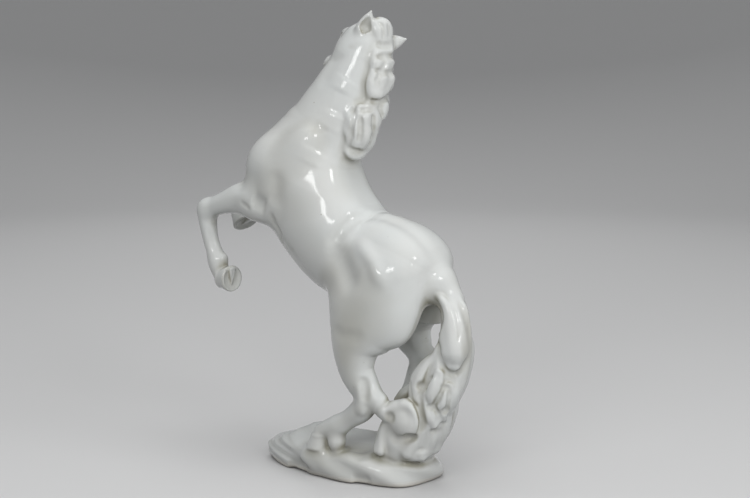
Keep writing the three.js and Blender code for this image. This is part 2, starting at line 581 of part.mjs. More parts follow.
function makePlinth() {
  const edge = { bevelThickness: PLINTH_EDGE, bevelSize: PLINTH_EDGE, bevelSegments: 3 };
  const wall = PLINTH_HEIGHT - PLINTH_EDGE;
  const slab = new THREE.ExtrudeGeometry(plinthOutline(PLINTH_EDGE), { depth: wall, ...edge });
  const slope = new THREE.Vector3(4 * FRONT_DROP, 0, -PLINTH_LENGTH).normalize();
  const dropLine = new THREE.Vector3(PLINTH_MIDDLE_X - PLINTH_LENGTH / 4, 0, 0);
  const block = solidOf(slab.translate(PLINTH_MIDDLE_X, 0, -PLINTH_HEIGHT));
  const fallen = block.trimByPlane(slope.toArray(), dropLine.dot(slope));
  const humps = ROCK_HUMPS.map(([x, y, a, b, c]) => ellipsoid([PLINTH_MIDDLE_X + x, y, 0, a, b, c]));
  const pads = STANDING.map((limb) => {
    const { sole } = hoofPlace(HOOVES[limb]);
    return bar(sole.setZ(0), DOWN, PLINTH_EDGE, HOOF_RADIUS + HOOF_PAD);
  });
  const rock = union([fallen, ...humps, ...pads]).trimByPlane([0, 0, 1], -PLINTH_HEIGHT);
  const recess = { depth: 2 * PLINTH_RECESS, bevelEnabled: false };
  const hollow = new THREE.ExtrudeGeometry(plinthOutline(PLINTH_RIM), recess);
  hollow.translate(PLINTH_MIDDLE_X, 0, -PLINTH_HEIGHT - PLINTH_RECESS);
  const standing = STANDING.map((limb) => legForm(limb, SEAM));
  const tailFeet = [tailStock(SEAM), ...TAIL_ENDS.map((name) => hairForm(name, SEAM))];
  return clearOf(rock, [solidOf(hollow), ...[...standing, ...tailFeet].map(aboveGround)]);
}

// Assembly
const castings = {
  plinth: makePlinth(),
  trunk: makeTrunk(),
  neck: makeNeck(),
  head: headForm(),
  left_ear: clearOf(earForm(EARS.left_ear), [headForm(SEAM), neckForm(SEAM)]),
  right_ear: clearOf(earForm(EARS.right_ear), [headForm(SEAM), neckForm(SEAM)]),
  ...makeHair(),
  ...Object.fromEntries(limbNames.map((limb) => [limb, makeLeg(limb)])),
  ...makeTail(),
};
const figure = new THREE.Group();
figure.position.set(FIGURE_SHIFT_X, 0, PLINTH_HEIGHT);
for (const [name, solid] of Object.entries(castings)) figure.add(meshOf(name, solid));

export default figure;
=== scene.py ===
# A white porcelain horse on a rock plinth. The whole figure is sculpted as one smooth distance field, from
# nearly the same stations as the castings, and parted along their seams, so glaze and highlights run across.
import json
import math

import bpy
import numpy as np
from mathutils import Matrix, Vector


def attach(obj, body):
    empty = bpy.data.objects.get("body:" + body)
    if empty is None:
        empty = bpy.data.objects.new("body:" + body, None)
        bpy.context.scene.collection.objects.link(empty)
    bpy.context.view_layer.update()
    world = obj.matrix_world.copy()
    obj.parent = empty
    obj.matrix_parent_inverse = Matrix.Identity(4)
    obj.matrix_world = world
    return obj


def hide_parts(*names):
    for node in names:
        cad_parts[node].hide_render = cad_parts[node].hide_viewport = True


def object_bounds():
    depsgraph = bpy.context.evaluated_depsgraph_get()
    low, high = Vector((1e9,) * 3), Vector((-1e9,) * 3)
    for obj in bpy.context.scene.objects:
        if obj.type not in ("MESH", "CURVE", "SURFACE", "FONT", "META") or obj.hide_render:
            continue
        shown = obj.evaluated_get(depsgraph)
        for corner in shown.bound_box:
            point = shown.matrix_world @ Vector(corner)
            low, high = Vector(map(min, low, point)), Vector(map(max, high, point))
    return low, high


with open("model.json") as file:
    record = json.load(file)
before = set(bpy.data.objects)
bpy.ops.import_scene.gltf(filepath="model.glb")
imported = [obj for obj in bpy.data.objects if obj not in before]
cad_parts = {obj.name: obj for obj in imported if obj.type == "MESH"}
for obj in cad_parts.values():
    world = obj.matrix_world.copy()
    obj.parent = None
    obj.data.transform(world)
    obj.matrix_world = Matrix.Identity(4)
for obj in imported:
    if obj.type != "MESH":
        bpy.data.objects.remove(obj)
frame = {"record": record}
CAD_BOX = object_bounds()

# Lengths are millimetres in the horse's frame, where z = 0 is the ground under the hind hooves, up to the
# glaze. The glaze, camera, lamps and floor are in metres in the part's frame.
MM_PER_M = 1000.0
PLINTH_HEIGHT = 18.0
SHIFT = np.array((13.35, 0.0, PLINTH_HEIGHT))
BOX_LOW, BOX_HIGH = (np.array(corner) * MM_PER_M - SHIFT for corner in CAD_BOX)
# The field of distances: its cell, the room round the figure and the distance that stands for far away
CELL = 0.85
ROOM = 4.0
FAR = 60.0
# How far a casting runs on past its seam, and how much of that it dips under its neighbour
OVERLAP = 0.8
DIP = 0.3
# A cell belongs to a casting inside the figure, and outside it up to this many cells from the surface
SKIN_CELLS = 1.5
# In cells: how deep a vertex may lie and still be on the figure's surface, and the room round a casting
OUTER_CELLS = 0.8
ROOM_CELLS = 3

# Stations: x, y, z, half width across the horse, half depth
TRUNK = [
    (58, 0, 101, 10, 10), (51, 0, 105.5, 21, 18), (40, 0, 110.5, 25.5, 24.5), (25, 0, 113.5, 26, 27.5),
    (9, 0, 115.5, 27, 30.5), (-6, 0, 122.8, 28.5, 33.2), (-20, 0, 135.5, 28.5, 34), (-34, 0, 150, 27, 33),
    (-47, 0, 161.5, 23.5, 28), (-59, 0, 167.5, 17, 20), (-67, 0, 169, 9, 10),
]
NECK = [
    (-35, 0, 164, 24, 33), (-27.5, 0, 182, 20.5, 29.5), (-20.5, 0.5, 194, 17.5, 25),
    (-14, 2, 206.5, 15, 22.3), (-8.5, 4.5, 219.5, 13.5, 19), (-3.2, 7.5, 231.5, 12.5, 15),
    (0, 10.5, 241, 11.5, 12), (0.5, 11.3, 245, 8.5, 8.5),
]
HEAD = [
    (4, 9, 246, 8, 8), (-1, 11.4, 243.8, 11.5, 10.5), (-8.8, 15.2, 240.3, 12, 13),
    (-16.8, 19, 236.7, 10, 12.2), (-25.5, 23.2, 232.8, 7.6, 9), (-32.8, 26.7, 229.5, 6.6, 7.4),
    (-37.9, 29.2, 227.3, 6.8, 7.2), (-43, 31.6, 225, 4, 4),
]
HEAD_ACROSS = (0.45, 0.70, -0.55)
LEFT_FOREARM = [
    (-44, -15, 146, 12, 15), (-60, -18, 147, 11.5, 14.2), (-74, -19, 146.8, 9, 10.2),
    (-86, -20, 143.8, 7.2, 7.2), (-94.5, -20, 141, 6.6, 6.2), (-101.5, -20, 139, 6, 5.4),
]
LEFT_FORE_CANNON = [
    (-99, -20, 140.5, 5.6, 5), (-100.6, -20, 133, 6, 5.6), (-98.6, -20, 121, 5, 5),
    (-95.6, -20, 112.5, 5, 5.2), (-92.8, -20, 106, 6, 6.6), (-90.6, -20, 99.5, 5.4, 5.4),
    (-88.5, -20, 96, 5, 5),
]
RIGHT_FOREARM = [
    (-44, 15, 146, 12, 15), (-54, 18, 153, 11, 12.5), (-64, 20, 161, 9, 9.5), (-73, 20.5, 168, 7, 7),
    (-80, 21, 173, 6, 5.6),
]
RIGHT_FORE_CANNON = [
    (-77, 21, 175, 5.6, 5), (-82.5, 21, 166, 6, 5.6), (-89, 20.7, 156.5, 5, 5), (-95, 20.5, 149, 5, 5.2),
    (-100, 20.5, 142.5, 6, 6.4), (-104.5, 20.5, 136.5, 5.4, 5.4), (-106, 20.5, 134, 5, 5),
]
LEFT_THIGH = [
    (38, -8, 118, 15, 22), (34.5, -13, 108, 17, 26.5), (29.3, -17, 95.5, 16.5, 29.7),
    (24, -20.5, 82.5, 14.5, 29.5), (19.5, -23, 71, 12.5, 21.5), (17.2, -24.3, 61, 10.5, 15),
    (18.5, -24.5, 50, 8.8, 11.5), (24, -24.5, 41, 7.4, 9.8), (29, -24.5, 35, 6.6, 8.2),
    (34, -24.5, 31, 4.6, 5),
]
LEFT_HIND_CANNON = [
    (29, -24.5, 36, 6, 7), (22, -24.5, 27, 6.6, 7.4), (12.5, -24.3, 19.8, 5.4, 6),
    (4, -24, 14.5, 6.2, 6.8), (-3, -24, 11.8, 5.6, 5.6), (-8, -24, 9, 5.2, 5.2),
]
RIGHT_THIGH = [
    (38, 9, 118, 15, 21.5), (33.5, 14, 108.5, 17, 25), (30, 19, 98, 16, 27), (27, 21, 87, 14, 25.5),
    (24.5, 22.5, 77, 12, 22), (26, 23, 66.5, 9.8, 14.5), (31, 22.5, 58, 8, 10), (36, 21.8, 53, 6.6, 7.8),
    (41, 21.5, 50, 4.6, 5),
]
RIGHT_HIND_CANNON = [
    (36, 21.8, 55, 6, 7), (32, 21.5, 44, 6.4, 7), (27, 21.2, 32, 5.4, 5.8), (22, 21, 21, 6.2, 6.8),
    (17.5, 21, 14.5, 5.6, 5.6), (14, 21, 9.5, 5.2, 5.2),
]
TAIL = [
    (50, 0, 103, 8, 7.5), (60, 0, 104.5, 8.5, 7.5), (67, 0, 98, 8, 7.5), (71.5, -1, 88, 8.5, 7.8),
    (73, -2, 76, 10, 8.2), (71.5, -3, 63, 12, 9.6), (66.5, -3, 49, 14, 11), (60.5, -2, 34, 15, 10.5),
    (53, -1, 17, 15, 9.5), (47, 0, 3, 15, 10),
]
# Raised or standing hooves: middle of the coronet and the way from there to the sole
HOOVES = {
    "left_foreleg": ((-89, -20, 96), (0.96, -0.14, 0.02)),
    "right_foreleg": ((-107, 20.5, 132.8), (0.6, -0.2, -0.77)),
    "left_hind_leg": ((-8.5, -23, 7.6), (-0.25, 0, -1)),
    "right_hind_leg": ((13, 21, 7.6), (-0.25, 0, -1)),
}
HOOF_HEIGHT = 9.5
HOOF_RADIUS = 8.6
CORONET_RADIUS = 6.4
# The band round the coronet: its height, place below the coronet and width
CORONET_BAND = (0.45, 0.4, 1.1)
# The sole's rounded rim, where the cone's slope ends above the coronet, and where the hoof ends in the leg
SOLE_RIM = 1.6
SLOPE_TOP = 4.0
HOOF_TOP = 2.5
HOOF_TOP_BLEND = 3.0
# The dish in a raised sole: its half sizes, and how far its middle stands out of the sole
SOLE_DISH = (2.4, 7.2, 7.2)
SOLE_DISH_OUT = 0.5
# The frog in a raised sole: forward of the middle, depth in the hoof, half width and half depth
FROG = [(-6.8, 0.4, 3.0, 1.5), (-2, 0.9, 2.2, 1.4), (3, 1.3, 0.8, 0.8)]
FROG_CLEFT = (-6.5, -3, 0.5)
# Ears: root, way to the tip, and the way that the cup opens
EARS = {
    "left_ear": ((2.4, 5, 249.5), (6.2, -1, 12.2), (0.45, -0.85, -0.25)),
    "right_ear": ((9, 17.5, 242), (9, 11.5, 3.6), (-0.65, 0.75, 0.08)),
}
EAR_LENGTH = 14.5
EAR_RADIUS = 4.4
# The ear's outside and its cup: share of the length, half width and half depth in ear radii
EAR_SHELL = [(-0.2, 1.0, 0.8), (0.12, 1.25, 0.9), (0.4, 1.1, 0.75), (0.72, 0.66, 0.5), (1, 0.14, 0.18)]
EAR_CUP = [(0.1, 0.45, 0.3), (0.25, 0.8, 0.55), (0.45, 0.74, 0.55), (0.7, 0.42, 0.4), (0.9, 0.1, 0.15)]
EAR_CUP_SHIFT = 3.1
# Round bones: half sizes
KNEE = (5.4, 6.0, 5.8)
HOCK = (4.6, 4.8, 5.2)
ERGOT = (2.6, 3.4, 3.2)

# Locks of hair: x, y, z and radius along each
LOCKS = {
    "forelock": [
        [(9, 8, 255.5, 2.5), (10.5, 10, 255.5, 3.6), (12.5, 12, 254, 4.4), (13, 14, 250, 4.4),
         (13, 14.5, 245, 3.4)],
        [(10, 7, 254.5, 2.5), (11, 8, 251.5, 3.8), (11.5, 9.5, 248, 4.2), (11.5, 10.5, 244, 3.4)],
    ],
    "mane_upper": [
        [(13.5, 14, 244, 3), (14, 14, 238.5, 4.4), (14.5, 13.5, 232.5, 4.8), (14.5, 12.5, 228, 3.6)],
        [(14.5, 13.5, 229, 3), (15, 13, 223.5, 4.8), (14, 11, 217.5, 5.2), (13, 8, 213, 4.8),
         (12.5, 6, 210, 3)],
        [(11.5, 9, 241.5, 3.2), (11.5, 7, 237.5, 4.6), (12, 5, 231.5, 5), (12.5, 3.5, 225.5, 3.8)],
        [(12.5, 7, 231, 2.6), (12, 4, 226, 3.6), (11.5, 1.5, 221, 4), (11.5, 1, 216, 4),
         (13, 1.5, 213, 3.8), (15, 4, 212, 2.8)],
        [(13, 11.5, 239.5, 3.6), (13.5, 9.5, 232.5, 4.8), (14, 7.5, 225, 5.2), (14, 5, 218.5, 4.4),
         (13.5, 4, 214.5, 3)],
        [(10, 15, 246, 3), (7, 20, 241, 5.5), (5, 22, 235, 5), (4, 21.5, 229, 3)],
        [(12, 14, 234, 3), (9, 18, 227, 6), (7, 18.5, 220, 5), (5, 17, 214, 3)],
    ],
    "mane_middle": [
        [(12, 11, 211.5, 3.6), (12, 10.5, 206.5, 5.2), (11.5, 9, 201.5, 5.2), (10, 7, 197.5, 3.8)],
        [(11.5, 5, 207.5, 3), (10, 1, 205, 3.4), (8.5, -3, 204.5, 3), (7, -5.5, 205.5, 2.6)],
        [(11, 7, 204, 3.6), (11, 4, 199.5, 5), (10.5, 4, 194.5, 4.8), (10, 5, 191, 3.2)],
        [(10.5, -1, 202.5, 3.4), (10, -3.5, 199, 4.6), (9, -3.5, 195, 4.6), (9.5, -2.5, 192, 3)],
        [(11, 12, 216, 3), (8, 15.5, 209, 6), (5, 16, 202, 5.5), (3, 15, 196, 3)],
    ],
    "mane_lower": [
        [(3, -6.5, 206, 1.4), (0.5, -7, 202.5, 2.6), (2, -7.5, 198, 3.4), (0.5, -7.5, 192.5, 3.6),
         (1.5, -7.5, 187.5, 3.3), (-1, -7.5, 182.5, 2.2)],
        [(7, -6.5, 202.5, 2.4), (5.5, -7.5, 197, 3.4), (6.5, -7.5, 191.5, 3.6), (4.5, -7, 186, 3.6),
         (3.5, -6, 181.5, 2.8)],
        [(9.5, 5, 191, 3.2), (7.5, 4.5, 186.5, 4.4), (5.5, 3.5, 182.5, 4.6), (3.5, 1.5, 180, 3.6)],
        [(10.5, -3.5, 196, 2.6), (10.5, -3.5, 191.5, 3.8), (9, -3, 186.5, 4.2), (6.5, -3, 182, 3.2)],
        [(-1, -7.5, 180, 2.6), (0.5, -6, 178, 3.8), (1.5, -1.5, 177, 4.4), (2.5, 2.5, 178.5, 4.2),
         (3, 5, 181, 3.2)],
        [(6, 10, 199, 3), (3.5, 11.5, 193, 5), (0.5, 11, 186, 4.5), (-1.5, 9.5, 180, 2.5)],
    ],
    "tail": [
        [(70, -4.5, 97, 1.5), (72.5, -6, 93, 3.2), (75, -7.5, 87, 5), (76.5, -8.5, 77, 7),
         (77.5, -9.5, 66, 8), (77, -9.5, 58.5, 5.5)],
        [(75, -1.5, 96, 1.5), (78, -2, 91, 3), (79, -2, 84, 4), (80, -3, 69.5, 5), (79, -4, 55.5, 5),
         (76.5, -5, 45.5, 4.8), (73.5, -5.5, 37.5, 4.2), (71.5, -4.5, 31.5, 2.5)],
        [(61.5, -7, 100, 2), (67.5, -9, 96.5, 2.4), (72.5, -10, 91, 2.8), (74, -11, 83.5, 2.8),
         (71.5, -12, 75, 2.6), (68, -12.5, 66.5, 2.4), (64, -13, 60, 2)],
        [(69, 6, 84, 3), (73, 8, 66, 6), (70, 9, 48, 6), (64, 9, 32, 5), (59, 9, 18, 3)],
        [(60, 6, 72, 3), (61, 10, 58, 5.5), (57, 12, 42, 6), (52, 12, 26, 5.5), (47, 11, 12, 4)],
        [(68, 4, 36, 3), (64, 7, 26, 5.5), (58.5, 8, 14, 5.5), (53, 8, 4, 4)],
    ],
    "tail_scroll": [
        [(66.5, -11, 63, 3), (61.5, -13, 58, 4), (57.5, -14.5, 51, 5.2), (55.5, -15.5, 44, 5.4),
         (55.5, -16, 37, 5), (57, -16.5, 29.5, 4.8), (57, -16.5, 21, 4.8), (54.5, -16.5, 12.5, 5),
         (50, -17, 4, 5.5)],
        [(55.5, -20, 33, 3.2), (51.5, -21.5, 33, 3.8), (47, -22.5, 32, 4), (42.5, -23.5, 30.5, 4.2),
         (38.5, -24.5, 28, 5), (40, -24.5, 25.5, 4.2)],
        [(40, -21, 24, 3.4), (36.5, -21, 18.5, 3.6), (34.5, -21, 12, 4), (33.5, -21.5, 3.5, 4.8)],
        [(50, -22, 33.5, 3), (55.5, -22, 31.5, 3.4), (57.5, -21.5, 27, 3.6), (57, -21.5, 21.5, 3.6),
         (53, -21.5, 16.5, 3.6), (47.5, -21.5, 13.5, 3.4)],
        [(50, -9.5, 42, 4), (43.5, -9.5, 36.5, 4.6), (39, -9.5, 32, 4)],
        [(36, -18, 2, 4.4), (43, -16.5, 2.5, 4.8), (50, -15, 2.5, 4.8), (56.5, -12.5, 2.5, 4.6)],
    ],
    "tail_switch": [
        [(71, -15, 54, 3), (69, -16, 46.5, 4.6), (66.5, -16.5, 40, 4.6), (65.5, -16.5, 35, 3)],
        [(75, -12.5, 46, 3), (72.5, -13, 38.5, 4.6), (70.5, -12.5, 31, 4.6), (69.5, -11, 25.5, 3.2)],
        [(76.5, -7, 50, 3), (75.5, -8.5, 42, 4.6), (73.5, -8, 35.5, 4.6), (72, -6, 30.5, 3)],
        [(63.5, -15.5, 35, 3.2), (65.5, -15, 28, 4.8), (66.5, -13.5, 21.5, 4)],
        [(69.5, -6, 28, 3.5), (67.5, -5.5, 21.5, 4.8), (64.5, -4, 14, 4.8), (61, -3, 8.5, 3.5)],
        [(65.5, -11.5, 21, 3), (63, -10.5, 13.5, 4.2), (58.5, -10, 6, 4.4), (53.5, -9.5, 0, 4.4)],
        [(61, -16.5, 44, 3), (61, -17, 36, 4.2), (61.5, -16.5, 28, 4.4), (60.5, -15, 19, 4.4),
         (57, -13.5, 10, 4)],
    ],
}
# The mass of hair under the locks: x, y, z, half width and half depth
HAIR = {
    "mane_upper": [
        (9.5, 12.5, 250, 5, 4.5), (10, 12, 244, 7.5, 6), (10, 11, 238, 8.5, 6.5), (10, 9.5, 230, 9, 7),
        (9.5, 8.5, 222, 9, 7), (8.5, 7.5, 216, 7, 5),
    ],
    "mane_middle": [
        (8.5, 7.5, 216, 6, 4.5), (7.8, 6, 209, 9, 6.5), (6, 5, 201, 10, 6.5), (4.5, 4, 194, 9, 5.5),
    ],
    "mane_lower": [(4, 3, 200, 7, 4.5), (3, 1.5, 192, 10, 6), (1, 0.5, 184, 10.5, 6), (0, 0, 178, 9, 4.5)],
    "tail_scroll": [
        (57, -15, 46, 5, 4.5), (55.5, -16, 36, 6.5, 5), (53, -17.5, 26, 8.5, 5.5), (48, -17, 17, 8.5, 5),
        (43, -16.5, 9, 7.5, 5), (40, -17, 1, 7, 5),
    ],
    "tail_switch": [
        (70, -8, 56, 6, 5), (68, -8.5, 45, 9, 7), (66, -7.5, 33, 10, 8), (62, -6.5, 20, 10, 8),
        (58, -6, 6, 9, 7),
    ],
}
# Shares of a written half size that the mass of hair and a lock are sculpted with
MASS_WIDE, MASS_DEEP = 0.85, 0.8
LOCK_WIDE, LOCK_DEEP = 1.05, 0.92
# Strands raked along a lock: count, turns and depth, their shift from lock to lock, and the radii between
# which they fade in
STRANDS = (4, 0.7, 0.35)
STRAND_SHIFT = 1.7
STRAND_RADII = (1.0, 4.0)
# The round body of the scroll and the web under it: middle and half sizes
SCROLL = [
    ((49.5, -20.5, 23.5), (9.5, 6.5, 9.5)), ((42, -18.5, 11), (8.5, 5, 10)), ((42, -19, 22), (5.5, 4.5, 6)),
]
# Pits between locks: middle and half sizes
PITS = [
    ((61, -20, 45), (3, 3.4, 2.4)), ((76.5, -17, 45.5), (3.2, 3.4, 1.6)), ((74.5, -14.5, 30.7), (2, 3, 2)),
    ((55.5, -22, 14.5), (3, 3.4, 2.2)), ((44, -29, 25.5), (2.6, 4, 3.2)),
    ((19.5, 17.5, 235.5), (4, 5, 2.6)), ((20.5, 17, 226.5), (4, 5, 2.6)), ((18, 13.5, 211), (4, 5, 2.4)),
]
# Where the glaze lies thick: middle, half sizes and how much it evens out
SOFT_SPOTS = {
    "neck": [((6, -4, 192), (17, 16, 22), 1), ((12, 5, 226), (16, 18, 32), 1)],
    "tail": [((44, -22, 20), (18, 14, 22), 1)],
}
# Grooves between locks and along them: points near the surface, depth and width
GROOVES = [
    ([(10, 7, 255.5), (11.5, 9, 251), (12, 9.5, 246), (11.5, 9, 242.5)], 0.8, 1),
    ([(13, 11, 255.5), (13.5, 13, 250.5), (13.5, 13, 245)], 0.8, 1),
    ([(10, 5, 242), (11.5, 9, 241), (14, 12, 241), (15.5, 15, 241.5)], 1.7, 1.8),
    ([(11, 2, 234), (14, 9, 234.5), (15.5, 13, 235.5), (16.5, 15, 235.5)], 1.6, 1.9),
    ([(13, 9, 234.5), (13, 8, 229.5), (13, 7, 225.5), (13, 5, 221.5), (13.5, 4.5, 216.5)], 1.3, 1.5),
    ([(17, 14, 225.5), (15.5, 10, 224.5), (14.5, 6, 225.5), (11.5, 1, 228)], 1.7, 1.8),
    ([(15.5, 12, 219), (14.5, 10, 214), (14, 8, 210.5)], 0.8, 1.1),
    ([(10.5, 0.5, 211), (12.5, 3.5, 209.5), (14, 8, 210), (15.5, 11, 211)], 1.6, 1.6),
    ([(11.5, 1, 203), (10, -3, 202), (8, -7.5, 202.5)], 0.9, 1.8),
    ([(12.5, 7, 208), (12, 6.5, 203.5), (12, 6.5, 198.5)], 1.2, 1.3),
    ([(10.5, 0, 201.5), (10.5, -0.5, 196.5), (10, 0, 191)], 1.7, 1.5),
    ([(14, 9, 199), (11.5, 7, 195), (11.5, 6.5, 191)], 1, 1.2),
    ([(7, -9, 205), (6, -9.5, 199), (5.5, -9.5, 193.5), (4.5, -9, 187.5), (2, -8.5, 182.5)], 1.6, 1.3),
    ([(9.5, -7, 201.5), (9.5, -8, 195.5), (9, -8, 189.5), (7, -7, 184)], 1.6, 1.3),
    ([(13, -2, 190.5), (11, 0, 186), (8, 0, 182)], 1.3, 1.4),
    ([(0.5, -9.5, 182.5), (2.5, -7, 180.5), (4, -3, 180), (5, 1.5, 182)], 1.0, 2.0),
    ([(1.5, -8, 178.5), (2.5, -6, 177), (3.5, -3.5, 175.5)], 0.6, 1),
    ([(68.5, -8, 85), (69, -10, 75), (70, -11.5, 66.5), (71, -12, 59.5), (74, -12, 54.5), (77.5, -12, 52.5),
      (81, -10.5, 53.5), (83.5, -8, 57), (85, -6, 62.5), (86, -5, 70.5)], 1.4, 1.6),
    ([(77.5, -5, 97.5), (81, -4, 90), (83, -3, 81.5), (84.5, -4, 73)], 0.7, 1.2),
    ([(74, -7, 94), (78.5, -9, 86), (80.5, -11, 76.5), (79.5, -12, 67.5)], 0.6, 1.2),
    ([(71, -15, 52), (67, -16, 48), (63.5, -17, 45.5), (61.5, -17, 41.5)], 1.4, 1.5),
    ([(61, -17, 45), (61, -17.5, 38), (61.5, -17.5, 31), (61.5, -17.5, 23.5), (59.5, -17.5, 17.5)], 1.8, 1.6),
    ([(63.5, -17, 35), (66, -17, 33.5), (69, -16, 35.5)], 1.5, 1.4),
    ([(72, -15, 46.5), (71, -15, 40.5), (69, -15, 35), (70, -15, 28.5), (68.5, -14, 22)], 1.5, 1.4),
    ([(76.5, -14, 45.5), (75.5, -13.5, 39), (74.5, -13, 33), (73.5, -12.5, 29)], 1.6, 1.5),
    ([(64, -16, 19.5), (67, -15, 19), (70, -13, 21), (72, -11, 25)], 1.6, 1.5),
    ([(52, -19, 35), (56.5, -19, 31.5), (58.5, -19, 26), (58.5, -19, 20), (56.5, -20, 16)], 1.6, 1.6),
    ([(41.5, -22.5, 14), (47, -22.5, 12.5), (52.5, -22, 13.5), (56.5, -21, 17)], 2.6, 2.4),
    ([(48, -14, 49), (54, -17, 45.5), (55, -18, 37), (57, -18, 31.5)], 0.7, 1.2),
]
# The rock: its middle and sizes, and its outline in shares of half length and half width
PLINTH_MIDDLE_X = -5.0
PLINTH_LENGTH = 122.0
PLINTH_WIDTH = 64.0
PLINTH_RIM = 6.0
PLINTH_RECESS = 10.0
PLINTH_OUTLINE = [
    (-1, 0.05), (-0.93, -0.3), (-0.6, -0.68), (-0.1, -0.95), (0.4, -0.96), (0.84, -0.7), (1, -0.1),
    (0.94, 0.62), (0.6, 0.96), (0.05, 1), (-0.5, 0.9), (-0.88, 0.55),
]
OUTLINE_STEPS = 14
# Humps on the rock: x and y from its middle, how far each reaches along and across, and its height
ROCK_HUMPS = [(-30, -2, 16, 18, 3), (-26, 14, 18, 13, 3), (26, 8, 20, 18, 2), (4, 16, 24, 12, 2.5)]
# Flats on the rock's edge: direction, tilt and how deep each cuts
ROCK_FACETS = [
    (-168, 50, 5), (-142, 58, 6), (-120, 46, 4.5), (-97, 62, 3.5), (-72, 48, 2.2), (-48, 60, 1.8),
    (-20, 52, 4), (12, 60, 4), (45, 50, 5), (80, 60, 4), (118, 48, 5), (152, 58, 5),
]
# How steeply a hump falls off, how far the rock's top drops at the front, and its greatest height
HUMP_FALL = 1.6
ROCK_DROP = 5.0
ROCK_TOP = 14.0
# How round the rock's edges are: round its top, between flats, at the foot, in the hollow and at the rim
TOP_ROUND = 6.0
FLAT_ROUND = 4.0
FOOT_ROUND = 1.2
HOLLOW_ROUND = 3.0
RIM_ROUND = 0.8
# Strata: how far in front they begin, over what length they grow, the height of one and its depth
STRATA_X = -26.0
STRATA_FADE = 16.0
STRATA_PITCH = 4.8
STRATA_DEPTH = 0.32

PIECES = [
    "plinth", "trunk", "neck", "head", "left_ear", "right_ear", "forelock", "mane_upper", "mane_middle",
    "mane_lower", "left_foreleg", "right_foreleg", "left_hind_leg", "right_hind_leg", "tail", "tail_scroll",
    "tail_switch",
]
INDEX = {name: number for number, name in enumerate(PIECES)}

# Small numbers that guard divisions and rounding, and the least half size of a tube
SMALL = 1e-6
TINY = 1e-9
LEAST_RADIUS = 0.3
# The length of a tube's rounded end in least half sizes, and how near to its middle a form takes a plain sum
END_CAP = 0.9
CORE = 0.08
# How far from a seam its plane still decides which casting a cell belongs to
SEAM_REACH = 8.0
# A furrow: the share of its length that it fades out over at each end, and its reach in widths
FURROW_FADE = 0.3
FURROW_REACH = 3
# A soft spot: the step that it evens out, and how steeply it fades in from its edge
SOFT_STEP = 1.7
SOFT_EDGE = 1.6
# The least square of the slope by which points are moved onto the surface
LEAST_SLOPE_SQUARE = 0.05
# The places of a form that a lock lying on it is compared with
LYING_PLACES = 60
# How the recesses that get painted shade are felt: distances off the surface, and the share of each
PAINTED_SHADE_FEELERS = ((1.5, 0.28), (3.0, 0.28), (6.0, 0.28), (12.0, 0.22), (22.0, 0.22))


def smooth_min(a, b, k):
    reach = np.maximum(k - np.abs(a - b), 0.0)
    return np.minimum(a, b) - reach * reach / (4.0 * k)


def smooth_max(a, b, k):
    return -smooth_min(-a, -b, k)


def unit(v):
    v = np.asarray(v, float)
    return v / np.linalg.norm(v)


# A share from 0 to 1 that starts and ends level.
def ease(share):
    return share * share * (3 - 2 * share)


# How far each cell of a grid lies past a point, along a direction.
def distance_past(grid, point, way):
    x, y, z = grid
    return (x - point[0]) * way[0] + (y - point[1]) * way[1] + (z - point[2]) * way[2]


# Distance to an ellipsoid, from a cell's offsets along its axes and the half sizes there.
def ellipsoid(offsets, sizes, least):
    place = np.sqrt(sum((offset / size) ** 2 for offset, size in zip(offsets, sizes)))
    slope = np.sqrt(sum((offset / size**2) ** 2 for offset, size in zip(offsets, sizes)))
    return np.where(place < CORE, least * (place - 1.0), place * (place - 1.0) / np.maximum(slope, SMALL))


# The terms of a Catmull-Rom curve from p1 to p2, twice as large as the curve.
def curve_terms(p0, p1, p2, p3):
    return 2 * p1, p2 - p0, 2 * p0 - 5 * p1 + 4 * p2 - p3, 3 * p1 - p0 - 3 * p2 + p3


def cubic(terms, t):
    return terms[0] + t * (terms[1] + t * (terms[2] + t * terms[3]))


class Spine:
    """A Catmull-Rom centreline with its section sizes, the same kind of curve as the castings' lofts."""

    def __init__(self, stations, across=(0, 1, 0), step=2.0):
        rows = np.asarray(stations, float)
        ends = np.vstack((rows[:1], rows, rows[-1:]))
        ends[0, :3] = 2 * rows[0, :3] - rows[1, :3]
        ends[-1, :3] = 2 * rows[-1, :3] - rows[-2, :3]
        self.poly = 0.5 * np.stack(curve_terms(ends[:-3], ends[1:-2], ends[2:-1], ends[3:]), axis=1)
        self.across = across
        self.spans = len(rows) - 1
        cuts = [0.0]
        for span in range(self.spans):
            length = np.linalg.norm(rows[span + 1, :3] - rows[span, :3])
            count = max(2, int(math.ceil(length / step)))
            cuts.extend(span + (i + 1) / count for i in range(count))
        self.cuts = np.array(cuts)

    def span_at(self, place):
        return min(int(place + TINY), self.spans - 1)

    def at(self, place):
        span = self.span_at(place)
        t = place - span
        c = self.poly[span]
        value = cubic(c, t)
        along = unit((c[1] + t * (2 * c[2] + 3 * t * c[3]))[:3])
        across = self.across(value[:3], along) if callable(self.across) else self.across
        across = np.asarray(across, float)
        side = unit(across - along * (across @ along))
        return value, along, side, np.cross(along, side)


